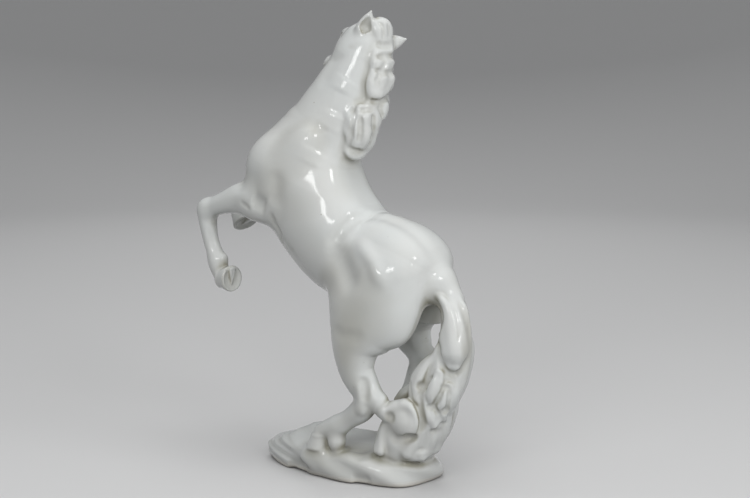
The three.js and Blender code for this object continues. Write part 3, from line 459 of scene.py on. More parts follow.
class Field:
    """A grid of signed distances, negative inside, with the nearest single form of each cell."""

    def __init__(self, low, high, cell):
        self.low = np.asarray(low, float)
        self.cell = cell
        self.shape = tuple(np.ceil((np.asarray(high, float) - self.low) / cell).astype(int) + 1)
        self.axes = [(self.low[i] + cell * np.arange(self.shape[i])).astype(np.float32) for i in range(3)]
        self.d, self.near, self.next = (np.full(self.shape, FAR, np.float32) for _ in range(3))
        self.who, self.rival = (np.zeros(self.shape, np.int8) for _ in range(2))

    def window(self, low, high):
        first = np.floor((np.asarray(low) - self.low) / self.cell).astype(int)
        last = np.ceil((np.asarray(high) - self.low) / self.cell).astype(int) + 1
        first = np.clip(first, 0, np.array(self.shape) - 1)
        last = np.clip(last, first + 1, self.shape)
        return tuple(slice(a, b) for a, b in zip(first, last))

    def grid(self, window):
        return [
            self.axes[0][window[0]][:, None, None],
            self.axes[1][window[1]][None, :, None],
            self.axes[2][window[2]][None, None, :],
        ]

    # Notes, for each cell, the casting whose forms come nearest and the one that comes next.
    def claim(self, window, dist, label):
        near, after, who, rival = (grid[window] for grid in (self.near, self.next, self.who, self.rival))
        number = INDEX[label]
        mine = who == number
        closer = dist < near
        won = closer & ~mine
        after[won], rival[won] = near[won], who[won]
        who[won] = number
        near[closer] = dist[closer]
        second = ~mine & ~closer & (dist < after)
        after[second], rival[second] = dist[second], number

    # Joins a form to the figure. A pair of labels is parted by the seam's plane.
    def add(self, form, label, blend, seam=None):
        window, dist = form
        if seam is None:
            self.claim(window, dist, label)
        else:
            past = distance_past(self.grid(window), *seam)
            lean = 0.5 * np.clip(past, -SEAM_REACH, SEAM_REACH)
            self.claim(window, (np.maximum(dist, past) + lean).astype(np.float32), label[0])
            self.claim(window, (np.maximum(dist, -past) - lean).astype(np.float32), label[1])
        self.d[window] = smooth_min(self.d[window], dist, blend)

    def carve(self, form, blend):
        window, dist = form
        self.d[window] = smooth_max(self.d[window], -dist, blend)

    # Forms added between these two are joined to each other first, and then as one to the figure.
    def start_layer(self):
        self.under, self.d = self.d, np.full(self.shape, FAR, np.float32)

    def lay(self, blend):
        self.d = smooth_min(self.under, self.d, blend)

    # A tube of elliptical sections through stations; strands = (count, turns, depth) rakes it lengthwise.
    def tube(self, stations, across=(0, 1, 0), margin=9.0, step=2.0, strands=None, phase=0.0):
        spine = Spine(stations, across, step)
        samples = [spine.at(cut) for cut in spine.cuts]
        rows = np.array([sample[0] for sample in samples])
        reach = rows[:, 3:5].max() + margin
        whole = self.window(rows[:, :3].min(0) - reach, rows[:, :3].max(0) + reach)
        dist = np.full([s.stop - s.start for s in whole], FAR, np.float32)
        last = len(samples) - 2
        for i in range(last + 1):
            start, start_way, start_side, start_depth = samples[i]
            stop, stop_way, stop_side, stop_depth = samples[i + 1]
            size = max(*start[3:5], *stop[3:5]) + margin
            box = self.window(np.minimum(start, stop)[:3] - size, np.maximum(start, stop)[:3] + size)
            grid = self.grid(box)
            after, beyond = distance_past(grid, start, start_way), distance_past(grid, stop, stop_way)
            mask = np.ones(after.shape, bool)
            if i > 0:
                mask &= after >= 0
            if i < last:
                mask &= beyond <= 0
            index = np.nonzero(mask)
            if not len(index[0]):
                continue
            after, beyond = after[index], beyond[index]
            inner = after / np.maximum(after - beyond, SMALL)
            share = np.where(after <= 0, 0.0, np.where(beyond >= 0, 1.0, inner))
            over = np.where(after < 0, -after, np.where(beyond > 0, beyond, 0.0))
            place = spine.cuts[i] + share * (spine.cuts[i + 1] - spine.cuts[i])
            span = spine.span_at(spine.cuts[i])
            *middle, wide, deep = (cubic(spine.poly[span][:, m], place - span) for m in range(5))
            offset = [np.broadcast_to(axis, mask.shape)[index] - at for axis, at in zip(grid, middle)]
            side = start_side[:, None] * (1 - share) + stop_side[:, None] * share
            depth = start_depth[:, None] * (1 - share) + stop_depth[:, None] * share
            sideways, inwards = (sum(o * way for o, way in zip(offset, ways)) for ways in (side, depth))
            wide, deep = np.maximum(wide, LEAST_RADIUS), np.maximum(deep, LEAST_RADIUS)
            least = np.minimum(wide, deep)
            value = ellipsoid((sideways, inwards, over), (wide, deep, END_CAP * least), least)
            if strands:
                count, turns, rake = strands
                bare, full = STRAND_RADII
                angle = np.arctan2(inwards / deep, sideways / wide)
                wave = np.cos(count * angle + 2 * math.pi * turns * place / spine.spans + phase)
                thick = np.clip((least - bare) / (full - bare), 0.0, 1.0)
                value = value + rake * (0.5 + 0.5 * wave) ** 2 * thick
            target = tuple(index[m] + (box[m].start - whole[m].start) for m in range(3))
            dist[target] = np.minimum(dist[target], value.astype(np.float32))
        return whole, dist

    # An ellipsoid: middle, half sizes along its own axes, and those axes.
    def ball(self, middle, sizes, axes=((1, 0, 0), (0, 1, 0), (0, 0, 1)), margin=10.0):
        middle = np.asarray(middle, float)
        reach = max(sizes) + margin
        window = self.window(middle - reach, middle + reach)
        grid = self.grid(window)
        offsets = [distance_past(grid, middle, unit(axis)) for axis in axes]
        return window, ellipsoid(offsets, sizes, min(sizes)).astype(np.float32)

    # A hoof: a cone that widens from the coronet to a flat sole with a rounded rim.
    def hoof(self, coronet, way, standing=False, margin=6.0):
        coronet, way = np.asarray(coronet, float), unit(way)
        reach = HOOF_HEIGHT + HOOF_RADIUS + margin
        window = self.window(coronet - reach, coronet + reach)
        grid = self.grid(window)
        x, y, z = grid
        if standing:
            along = coronet[2] - z
            share = along / -way[2]
            out = np.sqrt((x - coronet[0] - share * way[0]) ** 2 + (y - coronet[1] - share * way[1]) ** 2)
        else:
            along = distance_past(grid, coronet, way)
            square = sum((axis - coronet[m]) ** 2 for m, axis in enumerate(grid))
            out = np.sqrt(np.maximum(square - along * along, 0.0))
        slope = (HOOF_RADIUS - CORONET_RADIUS) / HOOF_HEIGHT
        wall = (out - CORONET_RADIUS - slope * np.maximum(along, -SLOPE_TOP)) / math.hypot(1.0, slope)
        height, below, width = CORONET_BAND
        band = height * np.exp(-(((along - below) / width) ** 2))
        cone = smooth_max(wall - band, along - HOOF_HEIGHT, SOLE_RIM)
        return window, smooth_max(cone, -along - HOOF_TOP, HOOF_TOP_BLEND).astype(np.float32)

    # A soft furrow (depth > 0) or ridge (depth < 0) on the surface along a line of points near it.
    def crease(self, points, depth, width, taper=True):
        points = self.settle(np.asarray(points, float), rounds=12, stride=1.0)
        lengths = np.linalg.norm(np.diff(points, axis=0), axis=1)
        reach = FURROW_REACH * width
        whole = self.window(points.min(0) - reach, points.max(0) + reach)
        near = np.full([s.stop - s.start for s in whole], FAR)
        place = np.zeros(near.shape)
        grid = self.grid(whole)
        done = 0.0
        for a, b, length in zip(points[:-1], points[1:], lengths):
            way = (b - a) / length
            t = np.clip(distance_past(grid, a, way), 0, length)
            gap = np.sqrt(sum((axis - a[m] - t * way[m]) ** 2 for m, axis in enumerate(grid)))
            place = np.where(gap < near, (done + t) / lengths.sum(), place)
            near = np.minimum(near, gap)
            done += length
        fade = np.clip(np.minimum(place, 1.0 - place) / FURROW_FADE, 0.0, 1.0)
        strength = ease(fade) if taper else 1.0
        self.d[whole] += (depth * strength * np.exp(-((near / width) ** 2))).astype(np.float32)

    # Evens out the surface inside an ellipsoid, most at its middle.
    def soften(self, middle, sizes, rounds):
        middle, sizes = np.asarray(middle, float), np.asarray(sizes, float)
        window = self.window(middle - sizes, middle + sizes)
        share = sum(((axis - middle[m]) / sizes[m]) ** 2 for m, axis in enumerate(self.grid(window)))
        weight = np.clip(SOFT_EDGE * (1.0 - share), 0.0, 1.0)
        step = max(1, int(round(SOFT_STEP / self.cell)))
        d = self.d[window]
        for _ in range(rounds):
            mean = sum(np.roll(d, way, axis) for axis in range(3) for way in (-step, step)) / 6.0
            d = d + weight * (mean - d)
        self.d[window] = d

    def sample(self, points, grid=None, low=None):
        grid, low = (self.d, self.low) if grid is None else (grid, low)
        place = (points - low) / self.cell
        base = np.clip(np.floor(place).astype(int), 0, np.array(grid.shape) - 2)
        share = np.clip(place - base, 0, 1)
        value = 0.0
        for corner in range(8):
            step = np.array([(corner >> m) & 1 for m in range(3)])
            weight = np.prod(np.where(step, share, 1 - share), axis=1)
            value = value + weight * grid[tuple((base + step).T)]
        return value

    def gradient(self, points, reach=0.6):
        out = np.empty_like(points)
        for axis in range(3):
            step = np.zeros(3)
            step[axis] = reach * self.cell
            out[:, axis] = self.sample(points + step) - self.sample(points - step)
        return out / (2 * reach * self.cell)

    # Moves points onto the surface, by at most stride in each round.
    def settle(self, points, rounds=3, stride=0.4):
        for _ in range(rounds):
            slope = self.gradient(points)
            size = np.maximum((slope * slope).sum(1), LEAST_SLOPE_SQUARE)
            move = slope * (self.sample(points) / size)[:, None]
            length = np.linalg.norm(move, axis=1)
            points = points - move * np.minimum(1.0, stride / np.maximum(length, TINY))[:, None]
        return points

    # Surface nets: one vertex in each cell that the surface crosses, one quad for each crossed grid edge.
    def surface(self, d, low):
        inside = d < 0
        total = np.zeros([n - 1 for n in d.shape], np.int8)
        corners = [tuple((c >> m) & 1 for m in range(3)) for c in range(8)]
        for c in corners:
            total += inside[tuple(slice(c[m], d.shape[m] - 1 + c[m]) for m in range(3))]
        cells = np.stack(np.nonzero((total > 0) & (total < 8)), axis=1)
        number = np.full(total.shape, -1, np.int32)
        number[tuple(cells.T)] = np.arange(len(cells))
        values = np.stack([d[tuple((cells + c).T)] for c in corners], axis=1)
        mean = np.zeros((len(cells), 3))
        count = np.zeros(len(cells))
        for a in range(8):
            for m in range(3):
                b = a | (1 << m)
                if a == b:
                    continue
                crossed = (values[:, a] < 0) != (values[:, b] < 0)
                t = values[:, a] / np.where(crossed, values[:, a] - values[:, b], 1.0)
                point = np.tile(np.array(corners[a], float), (len(cells), 1))
                point[:, m] += t
                mean += np.where(crossed[:, None], point, 0.0)
                count += crossed
        points = low + self.cell * (cells + mean / count[:, None])
        quads = []
        for m in range(3):
            u, v = (m + 1) % 3, (m + 2) % 3
            start = [slice(1, n - 1) for n in d.shape]
            start[m] = slice(0, d.shape[m] - 1)
            end = list(start)
            end[m] = slice(1, d.shape[m])
            first, second = inside[tuple(start)], inside[tuple(end)]
            for rising in (True, False):
                edge = np.stack(np.nonzero((first & ~second) if rising else (~first & second)), axis=1)
                edge[:, u] += 1
                edge[:, v] += 1
                ring = []
                for du, dv in ((-1, -1), (0, -1), (0, 0), (-1, 0)):
                    cell = edge.copy()
                    cell[:, u] += du
                    cell[:, v] += dv
                    ring.append(number[tuple(cell.T)])
                quad = np.stack(ring, axis=1)
                quads.append(quad if rising else quad[:, ::-1])
        return points, np.vstack(quads)


def seam_at(stations, place, along=None):
    value, way, _, _ = Spine(stations).at(place)
    return value[:3], way if along is None else unit(along)


# Where limbs part from the trunk: a plane at a station of the limb, across it or level
SEAMS = {
    ("trunk", "neck"): seam_at(NECK, 1.05),
    ("trunk", "left_foreleg"): seam_at(LEFT_FOREARM, 1.8),
    ("trunk", "right_foreleg"): seam_at(RIGHT_FOREARM, 2.5),
    ("trunk", "left_hind_leg"): seam_at(LEFT_THIGH, 4.85, (0, 0, -1)),
    ("trunk", "right_hind_leg"): seam_at(RIGHT_THIGH, 4.35, (0, 0, -1)),
    ("trunk", "tail"): seam_at(TAIL, 1.2),
}
NECK_SPINE = Spine(NECK)
TAIL_SPINE = Spine(TAIL)
HEAD_ORIGIN = np.array(HEAD[0][:3], float)
HEAD_WAY = unit(np.array(HEAD[-1][:3]) - HEAD_ORIGIN)
HEAD_SIDE = unit(np.array(HEAD_ACROSS) - HEAD_WAY * (np.array(HEAD_ACROSS) @ HEAD_WAY))
HEAD_TOP = np.cross(HEAD_SIDE, HEAD_WAY)
HEAD_AXES = (HEAD_WAY, HEAD_SIDE, HEAD_TOP)
# Features are placed along a head that was drawn a little longer
HEAD_SHORTENED = 0.9


# A point of the head: from the poll to the muzzle, to its right, and up.
def on_head(along, right, up):
    return HEAD_ORIGIN + HEAD_SHORTENED * along * HEAD_WAY + right * HEAD_SIDE + up * HEAD_TOP


# A point on the neck, by station and angle.
def on_neck(place, degrees):
    value, _, side, depth = NECK_SPINE.at(place)
    angle = math.radians(degrees)
    return value[:3] + side * value[3] * math.cos(angle) + depth * value[4] * math.sin(angle)


# Lays a lock's width along the surface of the form that it lies on.
def lying_on(spine):
    places = np.linspace(0, spine.spans, LYING_PLACES)
    middles = np.array([spine.at(place)[0][:3] for place in places])

    def across(point, along):
        out = point - middles[np.argmin(np.linalg.norm(middles - point, axis=1))]
        return np.cross(out, along)

    return across


def mirrored(points):
    return [(x, -y, z) for x, y, z in points]


# Adds a form that two castings share, parted by the seam between them.
def add_shared(field, form, pair, blend):
    field.add(form, pair, blend, SEAMS[pair])


# Adds round muscles and bones: casting, middle, half sizes, how far round they are worked out, and blend.
def add_balls(field, rows):
    for label, middle, sizes, margin, blend in rows:
        field.add(field.ball(middle, sizes, margin=margin), label, blend)


# Draws lines on the horse's left side, and then the same on its right.
def crease_sides(field, lines):
    for flip in (list, mirrored):
        for points, depth, width in lines:
            field.crease(flip(points), depth, width)


# The large forms: barrel, chest, limbs, neck and the stock of the tail.
def sculpt_masses(field):
    field.add(field.tube(TRUNK, margin=28, step=4), "trunk", 1)
    # The two halves of the breast
    for side in (-1, 1):
        field.add(field.ball((-54, 14.5 * side, 165), (16.2, 12, 19.5), margin=12), "trunk", 10)
    for name, stations, margin, step, blend in (
        ("left_hind_leg", LEFT_THIGH, 16, 3, 10), ("right_hind_leg", RIGHT_THIGH, 16, 3, 10),
        ("left_foreleg", LEFT_FOREARM, 12, 2, 6), ("right_foreleg", RIGHT_FOREARM, 12, 2, 6),
        ("neck", NECK, 26, 3, 16),
    ):
        add_shared(field, field.tube(stations, margin=margin, step=step), ("trunk", name), blend)
    field.add(field.tube(LEFT_FORE_CANNON), "left_foreleg", 5)
    field.add(field.tube(RIGHT_FORE_CANNON), "right_foreleg", 5)
    add_balls(field, [
        ("left_foreleg", (-99.5, -20, 139), KNEE, 10, 3), ("right_foreleg", (-79.5, 21, 171.5), KNEE, 10, 3),
    ])
    field.add(field.tube(LEFT_HIND_CANNON), "left_hind_leg", 3)
    field.add(field.tube(RIGHT_HIND_CANNON), "right_hind_leg", 3)
    add_shared(field, field.tube(TAIL, margin=12), ("trunk", "tail"), 7)


# Haunch: the furrow round its front and top, the ridge over the stifle and the hollow flank before it.
def sculpt_haunch(field):
    haunch = [
        (1.4, -27, 118), (1.6, -27, 121.5), (3.7, -26, 127.5), (7, -23.5, 133.5), (10, -19.5, 138),
        (13.5, -14, 141), (17, -8.5, 141), (22, -6.5, 140), (28, -6, 139), (36, -6.5, 136.5),
        (44, -7.5, 133), (52, -8, 127), (58, -7, 121), (63, -5, 113.5), (67, -3.5, 107),
    ]
    field.crease(haunch[:8], 2.8, 3.8)
    field.crease(haunch[4:], 1.4, 5.0)
    field.crease(mirrored(haunch[:6]), 2.0, 4.8)
    thigh_front = [
        (2, -27, 126), (6, -27, 120), (11, -26.5, 113.5), (15, -28, 108.5), (19, -29.5, 103.5), (24, -31, 98),
    ]
    thigh_ridge = [
        (14, -23, 130.5), (20, -25, 127), (28, -28.5, 122), (33.5, -30.5, 117.5), (37.5, -32, 110.5),
        (42, -30.5, 105), (46, -29.5, 100.5),
    ]
    crease_sides(field, [(thigh_front, 3.0, 6.8), (thigh_ridge, -1.7, 4.4)])
    # The right buttock, and the root of the tail
    add_balls(field, [
        ("trunk", (47.5, 8.5, 110), (12.5, 12.5, 14), 10, 8), ("trunk", (57, 0, 106), (10, 10, 8), 10, 8),
    ])
    # The firing vent in the groin
    field.carve(field.ball((25, 0, 85), (2, 2, 7), margin=4), 0.6)
    # The back dips behind the withers
    field.crease([(0, 0, 180), (5, 0, 170), (9.5, 0, 162), (16, 0, 154), (25, 0, 147)], 4.6, 13.0)
    # Stifle, and the furrow where the thigh ends in the gaskin
    field.crease([(3, -30, 76), (9, -33, 74.5), (16, -35, 72.5), (24, -35, 73), (31, -33, 77)], 0.9, 4.0)


# Shoulder blade, the arm's muscle, the pit behind the elbow and the skin folds there.
def sculpt_shoulders(field):
    blade_axes = ((0.8, 0, -0.6), (0, 1, 0), (0.6, 0, 0.8))
    for side in (-1, 1):
        field.add(field.ball((-46.5, 20 * side, 160), (7, 6.6, 13)), "trunk", 6)
        add_shared(field, field.ball((-30, 19 * side, 176), (9, 6, 18), blade_axes), ("trunk", "neck"), 9)
    crease_sides(field, [
        ([(-38.5, -23.5, 168), (-37.5, -25, 160), (-38.5, -26, 152), (-43, -27, 145)], 0.9, 5.0),
        ([(-58, -28, 148), (-54, -28.5, 147), (-50, -28, 145.5), (-46, -27, 144)], 2.4, 4.5),
        ([(-71, -22, 160), (-68.5, -26, 155), (-67, -28.5, 150)], 0.5, 4.0),
        ([(-44, -26.5, 143), (-43, -23, 135), (-40, -22, 127), (-41.5, -16, 119)], 1.4, 1.8),
    ])
    fold = [(-67, -28.5, 146.5), (-64.5, -28.5, 145.2), (-62, -28.5, 144), (-58.5, -28, 141.5)]
    field.crease(fold, 0.8, 1.6)


def sculpt_lower_legs(field):
    # The gaskin's tendon stands clear of the shin, down to the point of the hock
    field.crease([(27.5, -31, 50), (29, -31.5, 43.5), (29.5, -31.5, 38), (28.5, -31, 32.5)], 2.2, 2.4)
    field.crease([(39, 28, 62), (39.5, 27, 57), (37, 26.5, 52)], 2.6, 2.4)
    add_balls(field, [
        ("left_hind_leg", (35.5, -24.5, 33.5), HOCK, 8, 4), ("right_hind_leg", (42, 21.5, 52), HOCK, 8, 4),
    ])
    # A ridge down the outside of the hock
    field.crease([(23.5, -31.5, 46), (24.5, -32, 40), (25, -32, 34), (24, -32, 28)], -1.0, 2.4)
    # The bone at the hock's side, and the heels set down behind the hind hooves
    add_balls(field, [
        ("left_hind_leg", (25.5, -29.5, 29), (3.4, 2.6, 3.8), 6, 2.5),
        ("left_hind_leg", (3, -24, 5.5), (5.6, 5.8, 7.5), 8, 3),
        ("right_hind_leg", (22, 21, 5.5), (5.2, 5.6, 7.0), 8, 3),
    ])
    # The tendon down the left cannon, and the ergots behind the fetlocks
    field.crease([(-95.6, -25, 130), (-93.6, -25, 121), (-91.6, -25, 113)], 0.5, 1.3)
    add_balls(field, [
        ("left_foreleg", (-88.6, -20, 108), ERGOT, 6, 2.0),
        ("right_foreleg", (-96.4, 20.5, 140.5), ERGOT, 6, 2.0),
    ])


# Muscles of the neck, the furrow between throat and neck, and the hollow under the crest.
def sculpt_neck(field):
    crease_sides(field, [
        ([(0.5, -7, 223), (-2, -8, 218.5), (-4, -9.5, 213)], -0.5, 7.0),
        ([(-4.5, -11.5, 203), (-7, -13, 196), (-10, -15, 190)], -0.6, 7.0),
        ([(-13.5, -20.5, 181), (-16, -22, 176), (-18.5, -23, 170)], -0.5, 7.0),
    ])
    throat = ((5.6, 150), (4.8, 152), (4.0, 154), (3.2, 156))
    crest = ((5.6, 236), (4.8, 236), (4.0, 234), (3.3, 230))
    for far in (False, True):
        for places, depth in ((throat, 0.7), (crest, 0.6)):
            line = [on_neck(place, 180 - angle if far else angle) for place, angle in places]
            field.crease(line, depth, 5.0)


def sculpt_hooves(field):
    for limb, (coronet, way) in HOOVES.items():
        field.add(field.hoof(coronet, way, standing="hind" in limb), limb, 1.2)
    for limb in ("left_foreleg", "right_foreleg"):
        coronet, way = np.array(HOOVES[limb][0], float), unit(HOOVES[limb][1])
        sole = coronet + way * HOOF_HEIGHT
        side = np.array((0.0, 1.0, 0.0))
        toe = np.cross(way, side)
        toe = toe if toe @ np.array((-1.0, 0.0, -1.0)) > 0 else -toe
        field.carve(field.ball(sole + way * SOLE_DISH_OUT, SOLE_DISH, (way, side, toe), margin=4), 0.6)
        # The frog: a wedge from the heel to the middle of the sole, with a cleft
        frog = [(*(sole + toe * forward - way * sunk), wide, deep) for forward, sunk, wide, deep in FROG]
        field.add(field.tube(frog, side, margin=4, step=1.2), limb, 0.7)
        field.crease([sole + toe * forward for forward in FROG_CLEFT], 0.7, 0.8)


# Adds a round form in the head's own axes.
def add_to_head(field, middle, sizes, blend, margin=8):
    field.add(field.ball(on_head(*middle), sizes, HEAD_AXES, margin=margin), "head", blend)


# One side of the face: ridges and hollows of the bones, eye, nostril and mouth.
def sculpt_face(field, side):
    def line(*rows):
        return [on_head(along, right * side, up) for along, right, up in rows]

    field.crease(line((26, 10.5, -0.5), (33, 8.6, -1), (41, 7, -1.6)), -0.8, 1.8)
    field.crease(line((27, 10, -5.5), (33, 8.4, -5), (40, 7, -4.6)), 0.9, 2.6)
    field.crease(line((29, 6.5, 8), (37, 5.4, 6), (46, 4.6, 5)), 0.6, 2.4)
    # Eye: a socket, the ball in it and the two lids
    field.carve(field.ball(on_head(22, 12.2 * side, 2.8), (3.4, 2.2, 2.6), HEAD_AXES, margin=4), 0.8)
    add_to_head(field, (22, 9.7 * side, 2.8), (2.6, 2.3, 2.2), 0.3, margin=4)
    field.crease(line((18.4, 11.2, 3.2), (20, 11.4, 5.0), (22.4, 11.2, 5.6), (25.2, 10.6, 3.6)), -0.7, 0.9)
    field.crease(line((19, 11.2, 1.6), (21.5, 11.4, 0.4), (24.6, 10.8, 1.4)), -0.45, 0.9)
    # Nostril and the line of the mouth
    slant = (HEAD_WAY - 0.7 * HEAD_TOP, HEAD_SIDE, HEAD_TOP + 0.7 * HEAD_WAY)
    field.carve(field.ball(on_head(55.6, 6.9 * side, 1.6), (2.6, 1.9, 1.5), slant, margin=4), 0.7)
    mouth = line((46.5, 7, -2.6), (52, 7, -3.2), (57.5, 6, -3.2), (61.5, 3.2, -2.8), (63.5, 0, -2.6))
    field.crease(mouth, 0.9, 0.8, taper=False)


def sculpt_ear(field, name, root, way, opening):
    across = np.cross(way, opening)

    def stations(rows, shift):
        out = []
        for share, wide, deep in rows:
            middle = root + way * (share * EAR_LENGTH) + opening * shift
            out.append((*middle, wide * EAR_RADIUS, deep * EAR_RADIUS))
        return out

    field.add(field.tube(stations(EAR_SHELL, 0), across, margin=6, step=1.2), name, 2.5)
    field.carve(field.tube(stations(EAR_CUP, EAR_CUP_SHIFT), across, margin=4, step=1.2), 0.7)


def sculpt_head(field):
    field.add(field.tube(HEAD, HEAD_ACROSS, margin=12), "head", 10)
    # Cheeks, brows, the nostrils' wings and the lower lip
    for side in (-1, 1):
        add_to_head(field, (14.5, 7.5 * side, -6), (9.5, 4.6, 9.5), 3.5)
        add_to_head(field, (19, 9.6 * side, 5.4), (5.0, 3.2, 3.2), 3.0)
        add_to_head(field, (53, 4.8 * side, 0.8), (4.4, 2.6, 3.6), 2.0)
    add_to_head(field, (54.5, 0, -4.8), (4.8, 4.2, 3.0), 2.0)
    for side in (-1, 1):
        sculpt_face(field, side)
    # The hollow between the jaws
    field.crease([on_head(16, 0, -14), on_head(30, 0, -11), on_head(44, 0, -8)], 1.5, 2.6)
    # The neck runs up to the poll without a step
    field.soften((2, 1.5, 244.5), (17, 11, 10), 14)
    for name, (root, way, opening) in EARS.items():
        sculpt_ear(field, name, np.array(root, float), unit(way), unit(opening))


def sculpt_locks(field, name, across, blend):
    if name in HAIR:
        mass = [(x, y, z, MASS_WIDE * wide, MASS_DEEP * deep) for x, y, z, wide, deep in HAIR[name]]
        field.add(field.tube(mass, across, margin=7), name, 4)
    if name == "tail_scroll":
        for middle, sizes in SCROLL:
            field.add(field.ball(middle, sizes), name, 3)
    for number, row in enumerate(LOCKS[name]):
        path = [(x, y, z, LOCK_WIDE * radius, LOCK_DEEP * radius) for x, y, z, radius in row]
        form = field.tube(path, across, margin=6, step=1.5, strands=STRANDS, phase=STRAND_SHIFT * number)
        field.add(form, name, blend)


# The locks of the mane lie on the neck, those of the tail on its stock.
def sculpt_hair(field):
    for carrier, spine, blend, join in (("neck", NECK_SPINE, 2.0, 2.4), ("tail", TAIL_SPINE, 1.8, 1.4)):
        field.start_layer()
        for name in LOCKS:
            if name.startswith("tail") == (carrier == "tail"):
                sculpt_locks(field, name, lying_on(spine), blend)
        # Thick glaze evens out the locks before they join the figure
        for middle, sizes, rounds in SOFT_SPOTS[carrier]:
            field.soften(middle, sizes, rounds)
        field.lay(join)
    # Deep pits where locks part
    for middle, sizes in PITS:
        field.carve(field.ball(middle, sizes, margin=5), 2.2)
    for points, depth, width in GROOVES:
        field.crease(points, depth, width)


# Signed distance in plan to the closed curve of the rock's outline.
def outline_distance(x, y, inset=0.0):
    reach = np.array((PLINTH_LENGTH / 2 - inset, PLINTH_WIDTH / 2 - inset))
    rows = np.asarray(PLINTH_OUTLINE) * reach + (PLINTH_MIDDLE_X, 0)
    curve = []
    for i in range(len(rows)):
        terms = curve_terms(*(rows[(i + k - 1) % len(rows)] for k in range(4)))
        curve.extend(0.5 * cubic(terms, t) for t in np.linspace(0, 1, OUTLINE_STEPS, endpoint=False))
    curve = np.array(curve)
    best = np.full(np.broadcast(x, y).shape, np.inf)
    inside = np.zeros(best.shape, bool)
    for a, b in zip(curve, np.roll(curve, -1, axis=0)):
        e = b - a
        wx, wy = x - a[0], y - a[1]
        t = np.clip((wx * e[0] + wy * e[1]) / (e @ e), 0, 1)
        best = np.minimum(best, (wx - e[0] * t) ** 2 + (wy - e[1] * t) ** 2)
        inside ^= ((a[1] > y) != (b[1] > y)) & (wx < e[0] * wy / (e[1] if e[1] else TINY))
    return np.where(inside, -1, 1) * np.sqrt(best)


def sculpt_rock(field):
    high = field.low + field.cell * np.array(field.shape)
    window = field.window(field.low, (high[0], high[1], ROCK_TOP))
    x, y, z = field.grid(window)
    plan = outline_distance(x[:, :, 0], y[:, :, 0])[:, :, None]
    quarter = PLINTH_LENGTH / 4
    drop = np.clip((PLINTH_MIDDLE_X - quarter - x) / quarter, 0, 1)
    top = -ROCK_DROP * ease(drop) * np.ones_like(y)
    for hump_x, hump_y, length, width, height in ROCK_HUMPS:
        away = ((x - PLINTH_MIDDLE_X - hump_x) / length) ** 2 + ((y - hump_y) / width) ** 2
        top = top + height * np.exp(-HUMP_FALL * away)
    # Waves over the top, and sides that bulge and lean out towards the ground
    wobble = np.sin(0.16 * x + 0.9 * np.sin(0.11 * y + 0.4)) * np.cos(0.19 * y - 0.07 * x + 1.1)
    side = plan + 1.1 + 0.8 * np.sin(0.15 * x + 0.12 * y + 0.35 * z) + 0.012 * (z + 11) ** 2
    rock = smooth_max(side, z - top - 0.5 * wobble, TOP_ROUND)
    for degrees, tilt, inset in ROCK_FACETS:
        turn, rise = math.radians(degrees), math.radians(tilt)
        edge = math.hypot(PLINTH_LENGTH / 2 * math.cos(turn), PLINTH_WIDTH / 2 * math.sin(turn))
        out = (x - PLINTH_MIDDLE_X) * math.cos(turn) + y * math.sin(turn)
        plane = out * math.cos(rise) + z * math.sin(rise) - (edge * math.cos(rise) - inset)
        rock = smooth_max(rock, plane, FLAT_ROUND)
    rock = smooth_max(rock, -PLINTH_HEIGHT - z, FOOT_ROUND)
    hollow = outline_distance(x[:, :, 0], y[:, :, 0], PLINTH_RIM)[:, :, None]
    hollow = smooth_max(hollow, z + PLINTH_HEIGHT - PLINTH_RECESS, HOLLOW_ROUND)
    rock = smooth_max(rock, -hollow, RIM_ROUND)
    # Strata at the front, as ledges one above the other
    front = ease(np.clip((STRATA_X - x) / STRATA_FADE, 0, 1))
    level = 2 * math.pi * (z + 0.10 * x - 0.08 * y) / STRATA_PITCH
    rock = rock + STRATA_DEPTH * front * (np.sin(level) + 0.4 * np.sin(2 * level))
    field.add((window, rock.astype(np.float32)), "plinth", 3.0)
    # The rock rises to the left hind hoof
    field.add(field.ball((-11, -22.5, -6.5), (14, 8, 6.8)), "plinth", 3.0)
    # Folds of the rock: a lobe on the near edge, notches under it and a trough behind the scroll
    field.crease([(-22.5, -27.5, -4.6), (-16.5, -29.3, -8.9), (-12, -30, -13), (-7, -31, -16.4)], -1.2, 3.5)
    field.crease([(-36.7, -23.4, -16), (-25, -27, -14.6), (-14.7, -29.7, -14.8)], 1.8, 3.0)
    field.crease([(17, -31, -15), (24.5, -30, -15.2), (31.5, -28.6, -15)], 1.3, 3.0)
    field.crease([(13.6, -14.7, 0), (22, -26, -0.5), (25.4, -29.3, -3.6)], 1.3, 4.5)


def sculpt():
    field = Field(BOX_LOW - ROOM, BOX_HIGH + ROOM, CELL)
    sculpt_masses(field)
    sculpt_haunch(field)
    sculpt_shoulders(field)
    sculpt_lower_legs(field)
    sculpt_neck(field)
    sculpt_head(field)
    sculpt_hooves(field)
    sculpt_hair(field)
    sculpt_rock(field)
    tidy_labels(field)
    return field


